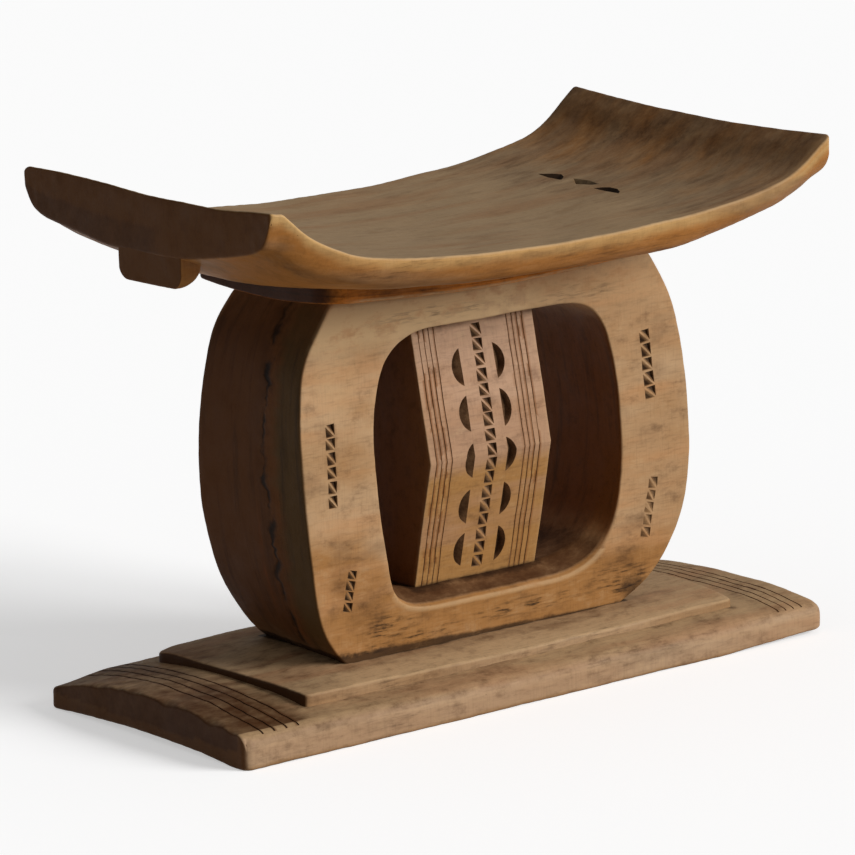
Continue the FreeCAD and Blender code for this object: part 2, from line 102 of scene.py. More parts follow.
print("easing a quarter of the way gives", float(smoothstep(0, 1, 0.25)))

# %% [markdown]
# The block could come from Blender's cube with a Bevel and a Subdivision Surface. Here its grid
# lines are placed instead, so that they stand close where a piece will bend sharply or be
# rounded, and far apart where it stays plain.

# %% A block with rounded edges
ROUND_STEPS = 3


def block_lines(half, radius, spacing, fine_reach=0.0, fine_spacing=1.0, extra=()):
    """Places of the grid lines along one axis, closer together near the block's ends."""
    flat = half - radius
    coarse = flat - fine_reach
    inner = np.linspace(-coarse, coarse, math.ceil(2 * coarse / spacing) + 1)
    turns = np.arange(1, ROUND_STEPS + 1) * math.pi / 4 / ROUND_STEPS
    outer = [flat + radius * np.tan(turns)]
    if fine_reach:
        outer.append(np.linspace(coarse, flat, math.ceil(fine_reach / fine_spacing) + 1)[1:])
    outer = np.concatenate(outer)
    lines = np.concatenate([-outer, inner, outer])
    for place in extra:
        lines = np.append(lines[np.abs(lines - place) > spacing / 2], place)
    return np.unique(np.round(lines, 4))


def block_grid(lines):
    """Points on a box's six sides, and its squares, turned outwards."""
    points, squares, start = [], [], 0
    for axis in range(3):
        across, along = (axis + 1) % 3, (axis + 2) % 3
        for side in (0, -1):
            first, second = np.meshgrid(lines[across], lines[along], indexing="ij")
            place = np.empty(first.shape + (3,))
            place[..., across], place[..., along], place[..., axis] = first, second, lines[axis][side]
            index = np.arange(first.size).reshape(first.shape) + start
            square = np.stack([index[:-1, :-1], index[1:, :-1], index[1:, 1:], index[:-1, 1:]], -1)
            squares.append(square.reshape(-1, 4)[:, ::1 if side else -1])
            points.append(place.reshape(-1, 3))
            start += first.size
    points = np.concatenate(points)
    unique, index = np.unique(np.round(points, 4), axis=0, return_inverse=True)
    return unique, index.reshape(-1)[np.concatenate(squares)]


def rounded_block(half, radius, lines, square_plan=True):
    """Rounded block: its points and its squares. A square plan keeps the upright edges sharp."""
    points, squares = block_grid(lines)
    half = np.array(half, float)
    core = np.clip(points, -(half - radius), half - radius)
    out = points - core
    across = np.abs(out[:, :2]).max(axis=1) if square_plan else np.hypot(out[:, 0], out[:, 1])
    return core + radius * out / np.hypot(across, out[:, 2])[:, None], squares


def edge_distance(points, half):
    """How far each point of a blank is from its nearest edge."""
    return np.sort(np.array(half, float) - np.abs(points), axis=1)[:, 1]


sample_points, sample_squares = rounded_block((10, 10, 10), 1, [block_lines(10, 1, 2)] * 3)
print("a 20 mm block has", len(sample_points), "points and", len(sample_squares), "squares")

# %% [markdown]
# A bent block must keep its rounded edges round. So only the flat middle of its height is
# stretched between the lower and the upper surface, and the roundings ride along. The last
# helper makes the surface uneven, which is what tells hand work from machine work.

# %% Bending the block
def fit_between(height, half, radius, bottom, top):
    """Moves a block's height between two surfaces and keeps its rounded edges round."""
    core = np.clip(height, -(half - radius), half - radius)
    share = (core + half - radius) / (2 * (half - radius))
    return bottom + radius + share * (top - bottom - 2 * radius) + height - core


def round_plan(points, half, radius):
    """Rounds the block's four upright corners, seen from above. One radius, or one for each point."""
    radius = np.broadcast_to(radius, len(points))[:, None]
    over = np.maximum(np.abs(points[:, :2]) - (np.array(half) - radius), 0)
    length = np.maximum(np.hypot(over[:, 0], over[:, 1]), 1e-9)
    share = np.where(over.max(axis=1) > 0, over.max(axis=1) / length, 1)
    inner = np.abs(points[:, :2]) - over
    points[:, :2] = np.sign(points[:, :2]) * (inner + over * share[:, None])
    return points


def hand_cut(points, seed, depth=0.5, width=45.0):
    """Uneven surface left by an adze and by long use."""
    moved = points.copy()
    for axis in range(3):
        moved[:, axis] += depth * wobble(points, width, seed + axis)
        moved[:, axis] += depth * 0.3 * wobble(points, width / 5, seed + axis + 7)
    return moved


print("uneven by up to", round(float(np.abs(hand_cut(sample_points, 1) - sample_points).max()), 2), "mm")

# %% [markdown]
# Blender gets a piece only once its points are final. The masks of its finish go along as
# attributes, one value for each point, so that a material can read them.

# %% From points to a finished piece
pieces = {}


def new_object(name, data):
    made = bpy.data.objects.new(name, data)
    bpy.context.scene.collection.objects.link(made)
    return made


def make_mesh(name, points, faces, masks, slots):
    """Mesh object at the origin, with its masks as attributes and a finish slot for each face."""
    mesh = bpy.data.meshes.new(name)
    mesh.from_pydata((points * MM).tolist(), [], [list(face) for face in faces])
    for mask, values in masks.items():
        layer = mesh.attributes.new(mask, "FLOAT", "POINT")
        layer.data.foreach_set("value", np.clip(values, 0, 1).astype(np.float32))
    mesh.polygons.foreach_set("use_smooth", np.ones(len(faces), bool))
    mesh.polygons.foreach_set("material_index", np.array(slots, np.int32))
    mesh.update()
    return new_object(name, mesh)


def evaluated_copy(piece):
    """Plain mesh of what an object's modifiers make of it."""
    bpy.context.view_layer.update()
    return bpy.data.meshes.new_from_object(piece.evaluated_get(bpy.context.evaluated_depsgraph_get()))


def remove(piece):
    bpy.data.objects.remove(piece, do_unlink=True)


def spot(points, centre, reach):
    """One at a centre, easing to zero at its reach along X, Y and Z."""
    away = np.linalg.norm((points - np.array(centre, float)) / np.array(reach, float), axis=1)
    return 1 - smoothstep(0.25, 1.0, away)


print("shaping tools ready")

# %% [markdown]
# ## Tools for carving
# The patterns are chip carving: a notch is two stabs of a knife and one slanting cut. Cutting
# them with a solid tool gives clean walls and floors, where a bump map would only fake them.
# The blank is carved while it is still square and is bent afterwards, so every cut follows the
# bend. Marks that repeat are set out by Geometry Nodes along a line, each a little off its
# place as a hand would leave it.

# %% One mark, and carving a blank with it
LIFT, CUT_FROM, CREASE_REACH = 0.2, 0.08, 0.02


def mark_shape(name, outline, keel):
    """Solid of one cut: its outline just above the wood, and its deepest points below."""
    mesh = bpy.data.meshes.new(name)
    shape = bmesh.new()
    spots = [(x, -LIFT, z) for x, z in outline] + [(x, depth, z) for x, z, depth in keel]
    corners = [shape.verts.new(place) for place in spots]
    bmesh.ops.convex_hull(shape, input=corners)
    bmesh.ops.recalc_face_normals(shape, faces=shape.faces)
    shape.to_mesh(mesh)
    shape.free()
    return new_object(name, mesh)


def carve(points, squares, cutters, creases=()):
    """Blank with the cutters taken out of it, split again where it will be bent.

    Gives its points and faces, how deep each point lies, and which faces are cut ones."""
    mesh = bpy.data.meshes.new("blank")
    mesh.from_pydata(points.tolist(), [], squares.tolist())
    blank = new_object("blank", mesh)
    for cutter in cutters:
        cut = blank.modifiers.new("cut", "BOOLEAN")
        cut.operation, cut.solver, cut.object = "DIFFERENCE", "EXACT", cutter
    carved = bmesh.new()
    carved.from_mesh(evaluated_copy(blank))
    for level in creases:
        everything = carved.verts[:] + carved.edges[:] + carved.faces[:]
        bmesh.ops.bisect_plane(carved, geom=everything, plane_co=(0, 0, level), plane_no=(0, 0, 1),
                               dist=CREASE_REACH)
    carved.verts.ensure_lookup_table()
    carved.verts.index_update()
    places = np.array([corner.co[:] for corner in carved.verts])
    faces = [[corner.index for corner in face.verts] for face in carved.faces]
    middles = [face.calc_center_median() for face in carved.faces]
    carved.free()
    remove(blank)
    for cutter in cutters:
        remove(cutter)
    skin = BVHTree.FromPolygons(points.tolist(), squares.tolist())
    depth = np.array([skin.find_nearest(place)[3] for place in places])
    is_cut = [int(skin.find_nearest(middle)[3] > CUT_FROM) for middle in middles]
    return places, faces, depth, is_cut


print("cutters start", LIFT, "mm above the wood")

# %% [markdown]
# Two node trees set out what repeats. The first puts a mark on each point of a line, moved,
# turned and stretched a little at random. The second draws a row of lines, lets them waver and
# gives them the thickness of a gouge. Both could be done with a loop that copies objects, but
# a tree keeps its sizes as named inputs that are easy to change.

# %% Marks along a line
def socket(tree, name, kind, way="INPUT"):
    return tree.interface.new_socket(name=name, in_out=way, socket_type="NodeSocket" + kind)


def new_tree(name, inputs):
    tree = bpy.data.node_groups.new(name, "GeometryNodeTree")
    for label, kind in inputs:
        socket(tree, label, kind)
    socket(tree, "Geometry", "Geometry", "OUTPUT")
    return tree, tree.nodes.new("NodeGroupInput").outputs, tree.nodes.new("NodeGroupOutput")


def add(tree, kind, inputs=None, **settings):
    """New node with its settings, and its inputs given as values or as sockets to join."""
    made = tree.nodes.new(kind)
    for setting, value in settings.items():
        setattr(made, setting, value)
    for key, value in (inputs or {}).items():
        if isinstance(value, bpy.types.NodeSocket):
            tree.links.new(value, made.inputs[key])
        else:
            made.inputs[key].default_value = value
    return made


def random_vector(tree, reach, seed):
    low = add(tree, "ShaderNodeVectorMath", {0: reach, "Scale": -1.0}, operation="SCALE")
    made = add(tree, "FunctionNodeRandomValue", {0: low.outputs[0], 1: reach, "Seed": seed},
               data_type="FLOAT_VECTOR")
    return made.outputs[0]


def marks_tree():
    """Copies of one mark along a line."""
    tree, given, out = new_tree("marks along a line", (
        ("Start", "Vector"), ("End", "Vector"), ("Count", "Int"), ("Turn", "Vector"),
        ("Mark", "Object"), ("Slip", "Vector"), ("Twist", "Vector"), ("Stretch", "Vector"),
        ("Seed", "Int"), ("Wood", "Material")))
    line = add(tree, "GeometryNodeMeshLine", {"Count": given["Count"], "Start Location": given["Start"],
                                              "Offset": given["End"]}, mode="END_POINTS")
    slipped = add(tree, "GeometryNodeSetPosition", {
        "Geometry": line.outputs[0], "Offset": random_vector(tree, given["Slip"], given["Seed"])})
    later = add(tree, "ShaderNodeMath", {0: given["Seed"], 1: 7.0})
    twist = random_vector(tree, given["Twist"], later.outputs[0])
    turned = add(tree, "ShaderNodeVectorMath", {0: given["Turn"], 1: twist}, operation="ADD")
    turned = add(tree, "FunctionNodeEulerToRotation", {0: turned.outputs[0]})
    last = add(tree, "ShaderNodeMath", {0: given["Seed"], 1: 13.0})
    size = add(tree, "ShaderNodeVectorMath", {
        0: (1, 1, 1), 1: random_vector(tree, given["Stretch"], last.outputs[0])}, operation="ADD")
    mark = add(tree, "GeometryNodeObjectInfo", {"Object": given["Mark"]})
    placed = add(tree, "GeometryNodeInstanceOnPoints", {
        "Points": slipped.outputs[0], "Instance": mark.outputs["Geometry"],
        "Rotation": turned.outputs[0], "Scale": size.outputs[0]})
    solid = add(tree, "GeometryNodeRealizeInstances", {0: placed.outputs[0]})
    dressed = add(tree, "GeometryNodeSetMaterial", {"Geometry": solid.outputs[0],
                                                    "Material": given["Wood"]})
    tree.links.new(dressed.outputs[0], out.inputs[0])
    return tree


def grooves_tree():
    """Row of long, slightly wavering gouge cuts."""
    tree, given, out = new_tree("row of grooves", (
        ("Start", "Vector"), ("End", "Vector"), ("Count", "Int"), ("From", "Vector"), ("To", "Vector"),
        ("Steps", "Int"), ("Width", "Float"), ("Waver", "Vector"), ("Seed", "Int"), ("Wood", "Material")))
    row = add(tree, "GeometryNodeMeshLine", {"Count": given["Count"], "Start Location": given["Start"],
                                             "Offset": given["End"]}, mode="END_POINTS")
    line = add(tree, "GeometryNodeCurvePrimitiveLine", {"Start": given["From"], "End": given["To"]})
    fine = add(tree, "GeometryNodeResampleCurve", {"Curve": line.outputs[0], "Count": given["Steps"]})
    lines = add(tree, "GeometryNodeInstanceOnPoints", {"Points": row.outputs[0],
                                                       "Instance": fine.outputs[0]})
    lines = add(tree, "GeometryNodeRealizeInstances", {0: lines.outputs[0]})
    place = add(tree, "GeometryNodeInputPosition")
    shift = add(tree, "ShaderNodeVectorMath", {0: place.outputs[0], 1: given["Seed"]}, operation="ADD")
    drift = add(tree, "ShaderNodeTexNoise", {"Vector": shift.outputs[0], "Scale": 0.035, "Detail": 2.0})
    centred = add(tree, "ShaderNodeVectorMath", {0: drift.outputs["Color"], 1: (0.5, 0.5, 0.5)},
                  operation="SUBTRACT")
    waver = add(tree, "ShaderNodeVectorMath", {0: centred.outputs[0], 1: given["Waver"]},
                operation="MULTIPLY")
    bent = add(tree, "GeometryNodeSetPosition", {"Geometry": lines.outputs[0],
                                                 "Offset": waver.outputs[0]})
    gouge = add(tree, "GeometryNodeCurvePrimitiveCircle", {"Resolution": 6, "Radius": given["Width"]})
    cut = add(tree, "GeometryNodeCurveToMesh", {"Curve": bent.outputs[0], "Profile Curve": gouge.outputs[0],
                                                "Fill Caps": True})
    solid = add(tree, "GeometryNodeRealizeInstances", {0: cut.outputs[0]})
    dressed = add(tree, "GeometryNodeSetMaterial", {"Geometry": solid.outputs[0],
                                                    "Material": given["Wood"]})
    tree.links.new(dressed.outputs[0], out.inputs[0])
    return tree


def grow(tree, **inputs):
    """Plain mesh object grown by a node tree from the given inputs."""
    host = new_object(tree.name, bpy.data.meshes.new(tree.name))
    grower = host.modifiers.new("grow", "NODES")
    grower.node_group = tree
    for item in tree.interface.items_tree:
        if item.in_out == "INPUT" and item.name in inputs:
            grower[item.identifier] = inputs[item.name]
    grown = new_object(tree.name, evaluated_copy(host))
    remove(host)
    return grown


cutting = bpy.data.materials.new("cut wood")
marks, grooves = marks_tree(), grooves_tree()
print("carving trees:", marks.name, "and", grooves.name)

# %% [markdown]
# ## Camera
# The photograph looks at the stool's left front corner from slightly above, through a long
# lens. The place of the camera was worked out from the stool's own straight edges, so the
# dressed model lies over the picture. The small shifts keep the stool where it is in the
# frame. The picture is taken to be 855 points wide and high.

# %% Place the camera
AZIMUTH, ELEVATION, ROLL = (math.radians(angle) for angle in (-38.90711841, 12.13516057, -1.45297120))
SHIFT_RIGHT, SHIFT_UP, DISTANCE = 9.06549, 13.46384, 3754.3949
AIM = Vector((0, 0, 200))
FOCAL_POINTS, FRAME_POINTS, SENSOR = 5021.0, 855.0, 36.0

back = Vector((math.sin(AZIMUTH) * math.cos(ELEVATION), -math.cos(AZIMUTH) * math.cos(ELEVATION),
               math.sin(ELEVATION)))
level = (-back).cross(Vector((0, 0, 1))).normalized()
upward = level.cross(-back)
right = level * math.cos(ROLL) + upward * math.sin(ROLL)
up = upward * math.cos(ROLL) - level * math.sin(ROLL)
eye = (AIM - right * SHIFT_RIGHT - up * SHIFT_UP + back * DISTANCE) * MM

camera = new_object("camera", bpy.data.cameras.new("camera"))
turn = Matrix((right, up, back)).transposed()
camera.matrix_world = Matrix.Translation(eye) @ turn.to_4x4()
camera.data.sensor_width = SENSOR
camera.data.lens = FOCAL_POINTS / FRAME_POINTS * SENSOR
camera.data.clip_end = 100
bpy.context.scene.camera = camera
print("camera at", [round(value, 3) for value in eye], "lens", round(camera.data.lens, 1))

# %% [markdown]
# ## Seat
# On the real stool the seat is one thick board that dips in the middle and sweeps up at both
# ends, dished a little from front to back. Its rim is described by a few heights along its
# length, and its rounded underside by a few depths across it. Use has rounded the right front
# corner and lowered it a little, and the left front stands slightly proud. Three small notches
# are cut in the top.

# %% Shape the seat
SEAT_HALF = (265.3, 148.8, 17.0)
SEAT_RADIUS = 2.2
SEAT_MIDDLE, SEAT_RISE = 345.5, 56.5
REACH_SHARES = (0, 0.20, 0.38, 0.52, 0.65, 0.75, 0.83, 0.895, 0.95, 1)
RISE_SHARES = (0, 0.012, 0.065, 0.118, 0.20, 0.30, 0.42, 0.60, 0.82, 1)
THICKNESSES = (34.5, 34.5, 34.5, 34.5, 34.6, 35.2, 36.0, 38.6, 42.9, 48)
UNDER_REACH = (0, 0.3, 0.5, 0.65, 0.75, 0.83, 0.89, 0.94, 0.97, 0.99, 1)
UNDER_DROP = (1, 0.985, 0.885, 0.80, 0.735, 0.67, 0.59, 0.46, 0.28, 0.11, 0)
EDGE_FACE, RIGHT_DROP = 6.0, 9.0
LIFT_REACH = (-265.3, -261, -254, -250, -244, -235, -225, -213, -195, -180)
LEFT_LIFT = (0.0, 1.8, 5.6, 5.2, 5.6, 4.8, 4.4, 3.4, 1.0, 0.0)
LEFT_DISH_REACH = (-148.8, -119, -95, -50, 0, 50, 100, 148.8)
LEFT_DISH = (1.9, 3.7, 5.4, 5.4, 4.2, 1.8, 0.4, 0)
EVEN_DISH, DISH_GROWTH, BACK_ROUND, FRONT_CORNER, SEAT_CORNER = 3.6, 0.4, 2.5, 7.0, 3.0


def end_rise(x):
    """How far the seat has swept up, from zero in the middle to one at its ends."""
    return smooth_curve(np.abs(x) / SEAT_HALF[0], REACH_SHARES, RISE_SHARES)


def seat_rim(x, y):
    """Height of the seat's rim, carried across its depth."""
    front = (SEAT_HALF[1] - y) / (2 * SEAT_HALF[1])
    rise = end_rise(x)
    drop = np.where(x > 0, rise * RIGHT_DROP * front, 0)
    lift = smooth_curve(np.minimum(x, LIFT_REACH[-1]), LIFT_REACH, LEFT_LIFT) * smoothstep(0.6, 1, front)
    return SEAT_MIDDLE + SEAT_RISE * rise - drop + lift


def seat_top(x, y):
    """Top of the seat, dished, its back edge worn round towards both ends."""
    rise = end_rise(x)
    even = EVEN_DISH * (1 - (y / SEAT_HALF[1]) ** 2)
    left = smooth_curve(y, LEFT_DISH_REACH, LEFT_DISH)
    dish = np.where(x < 0, even + rise * (left - even), even * (1 + DISH_GROWTH * rise))
    round_back = BACK_ROUND + np.where(x < 0, 8.0, 3.5) * smoothstep(0.2, 0.8, rise)
    over = np.clip(y - SEAT_HALF[1] + round_back, 0, round_back)
    return seat_rim(x, y) - dish - 0.8 * (round_back - np.sqrt(round_back ** 2 - over ** 2))


def seat_bottom(x, y):
    """Rounded underside. The edge face is taller behind, and the front fuller near the ring."""
    rise = end_rise(x)
    thickness = smooth_curve(np.abs(x) / SEAT_HALF[0], REACH_SHARES, THICKNESSES)
    lowest = SEAT_MIDDLE + SEAT_RISE * rise - thickness
    taller = smoothstep(0.2, 0.8, rise) * np.where(y > 0, 7.0, np.where(x > 0, 3.0, 0))
    edge = seat_rim(x, y) - EDGE_FACE - taller
    across = smooth_curve(np.abs(y) / SEAT_HALF[1], UNDER_REACH, UNDER_DROP)
    fuller = (y < 0) * (0.56 * hill(x, 112, 85) + 0.45 * smoothstep(226, 262, x))
    return edge - (across + fuller * across * (1 - across)) * (edge - lowest)


def bend_seat(blank):
    right_end, front = blank[:, 0] > 0, blank[:, 1] < 0
    radius = np.where(front & right_end, FRONT_CORNER, SEAT_CORNER)
    points = round_plan(blank.copy(), SEAT_HALF[:2], radius)
    x, y = points[:, 0], points[:, 1]
    points[:, 2] = fit_between(points[:, 2], SEAT_HALF[2], SEAT_RADIUS, seat_bottom(x, y), seat_top(x, y))
    return points


SEAT_NOTCHES = {
    "first notch": (((158.5, 68.5), (163.8, 60), (168.1, 51.1), (164, 43), (156.3, 37.5), (155.5, 52)),
                    ((161.5, 48, 6.5), (160.2, 58, 3.5))),
    "second notch": (((164.8, 33.2), (153.6, 17.9), (158, 5), (162.1, -0.3), (166.5, 16)),
                     ((160.0, 26, 3.4), (161, 9, 1.6))),
    "third notch": (((151.5, -4.3), (156, -8), (159.2, -15), (158.4, -25), (154.1, -32.5), (149.5, -36.6),
                     (149.6, -20)), ((154.6, -24, 6.5), (154.2, -12, 3.8))),
}
seat_cutters = []
for name, (outline, keel) in SEAT_NOTCHES.items():
    notch = mark_shape(name, outline, keel)
    notch.rotation_euler.x = -math.pi / 2
    notch.location.z = SEAT_HALF[2]
    seat_cutters.append(notch)
seat_lines = [block_lines(SEAT_HALF[0], SEAT_RADIUS, 3.2, 12, 2.0),
              block_lines(SEAT_HALF[1], SEAT_RADIUS, 3.2, 24, 1.2),
              block_lines(SEAT_HALF[2], SEAT_RADIUS, 3.0)]
seat_blank, seat_faces, _, seat_cut = carve(*rounded_block(SEAT_HALF, SEAT_RADIUS, seat_lines),
                                            seat_cutters)
seat_points = bend_seat(seat_blank)
print("seat:", len(seat_faces), "faces,", np.ptp(seat_points, axis=0).round(1), "mm")

# %% [markdown]
# ## Ring
# The ring is a wheel of wood: outside it bulges more at the right than at the left, and its
# opening is a rounded square. Both outlines are drawn with a few points each and read as
# distances from one centre, so every spoke of the wheel gets an inner and an outer end. The
# rounded cross-section is then carried round the spokes. The opening's floor slopes down to a
# worn lip at the front and the back.

# %% Outlines of the ring
RING_CENTRE = np.array((7.0, 172.0))
RING_HALF_DEPTH, RING_RADIUS, SPOKES = 56.2, 2.0, 500
FRONT_OUTLINE = ((-136, 34), (-147, 46.7), (-155, 58.5), (-160, 70), (-166.4, 101), (-171.6, 159),
                 (-175, 216), (-173.4, 250), (-170, 265), (-162.6, 279), (-152.8, 292.5), (-139.5, 313.5),
                 (0, 306.5), (154, 315), (164, 301), (175, 284), (183.7, 267), (190.5, 243), (197, 208),
                 (200.4, 165), (200.4, 146), (196, 115), (188.8, 93), (170.6, 66.6), (148, 48.6), (115, 34),
                 (0, 34))
BACK_OUTLINE = ((-123, 34), (-148, 60), (-169.5, 95), (-181, 137), (-184.5, 170), (-184, 197),
                (-180, 230), (-175, 255), (-166, 282), (-149.5, 302), (-139.5, 313.5), (0, 306.5),
                (154, 315), (161, 302), (178.6, 270), (191.8, 213), (193.6, 150), (182.4, 95.5),
                (166.7, 68), (148, 50), (115, 34), (0, 34))
OPENING = ((-59.5, 0), (-80, 4), (-92, 15), (-97, 38), (-103, 75), (-106.5, 115), (-106, 140),
           (-102, 164), (-95, 179), (-85, 188), (-72, 194), (-60.5, 197), (0, 197), (77.8, 197),
           (95, 194.5), (108, 186), (118, 169.8), (126, 138), (131, 96), (130, 70), (124, 39),
           (114, 20), (100, 8.5), (80, 2), (62, 0), (0, 0))
FRONT_STRAIGHT, BACK_STRAIGHT, OPENING_STRAIGHT = (11, 12, 25, 26), (10, 11, 20, 21), (11, 12, 24, 25)
FLOOR, CEILING, LIP_DROP, FLOOR_HALF = 80.0, 277.0, 11.5, 38.0


def spoke_lengths(outline, straight, angles):
    """Distance from the centre to an outline along each spoke. Straight runs stay straight."""
    outline = np.array(outline, float)
    dense = []
    count = len(outline)
    for index in range(count):
        before, start, end, after = (outline[(index + step) % count] for step in (-1, 0, 1, 2))
        share = np.linspace(0, 1, 40, endpoint=False)[:, None]
        if index in straight:
            dense.append(start + share * (end - start))
            continue
        first = (end - before) / 2 if (index - 1) % count not in straight else end - start
        last = (after - start) / 2 if (index + 1) % count not in straight else end - start
        square, cube = share ** 2, share ** 3
        dense.append(start * (2 * cube - 3 * square + 1) + end * (3 * square - 2 * cube)
                     + first * (cube - 2 * square + share) + last * (cube - square))
    away = np.concatenate(dense) - RING_CENTRE
    angle = np.arctan2(away[:, 1], away[:, 0])
    order = np.argsort(angle)
    lengths = np.interp(angles, angle[order], np.hypot(*away.T)[order], period=2 * math.pi)
    ease = np.exp(-0.5 * (np.arange(-9, 10) / 3.6) ** 2)
    padded = np.concatenate([lengths[-9:], lengths, lengths[:9]])
    return np.convolve(padded, ease / ease.sum(), "valid")


def opening_at(floor):
    """Outline of the opening when its floor is at the given height."""
    scale = (CEILING - floor) / (CEILING - FLOOR)
    return [(x, floor + rise * scale) for x, rise in OPENING]


print("the opening is", CEILING - FLOOR, "mm high")

# %% [markdown]
# A wall of the ring is cut across once, as a path from its inner to its outer side and back.
# Every spoke carries the same path, stretched to that spoke's own wall. A lathe or a bevelled
# curve could not do this, because the wall's thickness changes all the way round.

# %% Carry the section round
def ring_section(spacing=2.9):
    """Path round the wall: share from the inner to the outer side, offset and place in depth."""
    flat = RING_HALF_DEPTH - RING_RADIUS
    turns = np.arange(1, 4) * math.pi / 8
    shares = np.linspace(0, 1, 17)
    depths = np.linspace(-flat, flat, math.ceil(2 * flat / spacing) + 1)
    path = [(share, 0, -RING_HALF_DEPTH) for share in shares[::-1]]
    path += [(0, -RING_RADIUS * math.sin(t), -flat - RING_RADIUS * math.cos(t)) for t in turns]
    path += [(0, -RING_RADIUS, depth) for depth in depths]
    path += [(0, -RING_RADIUS * math.cos(t), flat + RING_RADIUS * math.sin(t)) for t in turns]
    path += [(share, 0, RING_HALF_DEPTH) for share in shares]
    path += [(1, RING_RADIUS * math.sin(t), flat + RING_RADIUS * math.cos(t)) for t in turns]
    path += [(1, RING_RADIUS, depth) for depth in depths[::-1]]
    path += [(1, RING_RADIUS * math.cos(t), -flat - RING_RADIUS * math.sin(t)) for t in turns]
    return np.array(path)


def shape_ring():
    """Ring's points and squares, and how far each point is from the edge of its face."""
    angles = np.linspace(-math.pi, math.pi, SPOKES, endpoint=False)
    front = spoke_lengths(FRONT_OUTLINE, FRONT_STRAIGHT, angles)
    behind = spoke_lengths(BACK_OUTLINE, BACK_STRAIGHT, angles)
    inner = spoke_lengths(opening_at(FLOOR), OPENING_STRAIGHT, angles)
    lip = spoke_lengths(opening_at(FLOOR - LIP_DROP), OPENING_STRAIGHT, angles)
    share, offset, depth = ring_section().T
    back_share = (depth + RING_HALF_DEPTH) / (2 * RING_HALF_DEPTH)
    outer = front[:, None] + (behind - front)[:, None] * back_share
    lip_share = np.clip((np.abs(depth) - FLOOR_HALF) / (RING_HALF_DEPTH - FLOOR_HALF), 0, 1)
    inside = inner[:, None] + (lip - inner)[:, None] * lip_share
    wall = outer - inside
    reach = inside + RING_RADIUS + share * (wall - 2 * RING_RADIUS) + offset
    points = np.stack([RING_CENTRE[0] + reach * np.cos(angles)[:, None],
                       np.broadcast_to(depth, reach.shape),
                       RING_CENTRE[1] + reach * np.sin(angles)[:, None]], -1)
    on_face = (np.abs(depth) > RING_HALF_DEPTH - RING_RADIUS / 2)
    edge = np.where(on_face, np.minimum(share, 1 - share) * wall, RING_HALF_DEPTH - np.abs(depth))
    rows, columns = reach.shape
    index = np.arange(rows * columns).reshape(rows, columns)
    after, beside = np.roll(index, -1, axis=0), np.roll(index, -1, axis=1)
    squares = np.stack([index, beside, np.roll(after, -1, axis=1), after], -1).reshape(-1, 4)
    return points.reshape(-1, 3), squares, edge.reshape(-1)


def outward(points, squares):
    """Squares turned so that the shape's volume counts as positive."""
    first, second, third = (points[squares[:, step]] for step in (0, 1, 2))
    fourth = points[squares[:, 3]]
    volume = (np.einsum("ij,ij->i", first, np.cross(second, third))
              + np.einsum("ij,ij->i", first, np.cross(third, fourth))).sum()
    return squares if volume > 0 else squares[:, ::-1]


ring_points, ring_squares, ring_edge = shape_ring()
ring_squares = outward(ring_points, ring_squares)
print("ring:", len(ring_squares), "squares,", np.ptp(ring_points, axis=0).round(1), "mm")

# %% [markdown]
# ## Notched strips on the ring
# Four short strips of a stepped pattern stand on the ring's flat face. Each step is a pair of
# three-cornered notches that leaves a thin slanting ridge between them: one notch at the upper
# right, one at the lower left. The back face gets the same strips, turned half round.

# %% Cut the strips
def step_marks(width, height, depth):
    """The two notches of one step, standing in a cell of the given size."""
    half, top = width / 2, height / 2
    upper = mark_shape("upper notch", ((-0.86 * half, top), (half, top), (half, -0.98 * top)),
                       ((0.8 * half, 0.8 * top, depth), (0.9 * half, -0.1 * top, 0.75 * depth),
                        (0, 0.86 * top, 0.75 * depth)))
    lower = mark_shape("lower notch", ((-half, 0.86 * top), (-half, -top), (0.86 * half, -top)),
                       ((-0.84 * half, -0.8 * top, 0.8 * depth), (-0.9 * half, 0.1 * top, 0.6 * depth),
                        (0, -0.88 * top, 0.6 * depth)))
    return upper, lower


def notched_strip(start, end, count, width, depth, seed, turn=0.0):
    """Row of stepped notches between two places on an upright face."""
    height = math.dist(start, end) / count
    lean = math.atan2(start[0] - end[0], start[2] - end[2])
    spin = Matrix.Rotation(turn, 3, "Z")
    gap = (Vector(end) - Vector(start)) / count / 2
    strip = []
    for mark in step_marks(width, 0.87 * height, depth):
        strip.append(grow(marks, Start=spin @ (Vector(start) + gap), End=spin @ (Vector(end) - gap),
                          Count=count, Turn=(0.0, lean, turn), Mark=mark, Slip=(0.25, 0.0, 0.3),
                          Twist=(0.0, 0.07, 0.0), Stretch=(0.07, 0.15, 0.08), Seed=seed, Wood=cutting))
        remove(mark)
    return strip


# Start, end, count, width and depth of each strip
STRIPS = (((-147.8, -56.2, 220.6), (-146.4, -56.2, 157.0), 6, 8.2, 2.4),
          ((-130.3, -56.2, 109.5), (-137.0, -56.2, 78.0), 4, 7.8, 2.2),
          ((155.2, -56.2, 247.5), (161.5, -56.2, 191.5), 5, 10.0, 2.4),
          ((162.8, -56.2, 132.0), (152.6, -56.2, 84.5), 5, 9.0, 1.1))
ring_cutters = []
for turn in (0.0, math.pi):
    for index, strip in enumerate(STRIPS):
        ring_cutters += notched_strip(*strip, seed=index + 3, turn=turn)
carved_ring_points, ring_faces, ring_deep, ring_cut = carve(ring_points, ring_squares, ring_cutters)
print("ring carved:", len(ring_faces), "faces")

# %% [markdown]
# ## Column
# The post inside the ring is a squared block whose front and back are creased forward at half
# height. It is carved while its faces are still flat: five half-moons on either side of a
# notched strip, and four fine grooves along each edge. Pushing the block's depth in and out
# along its height then makes the crease.

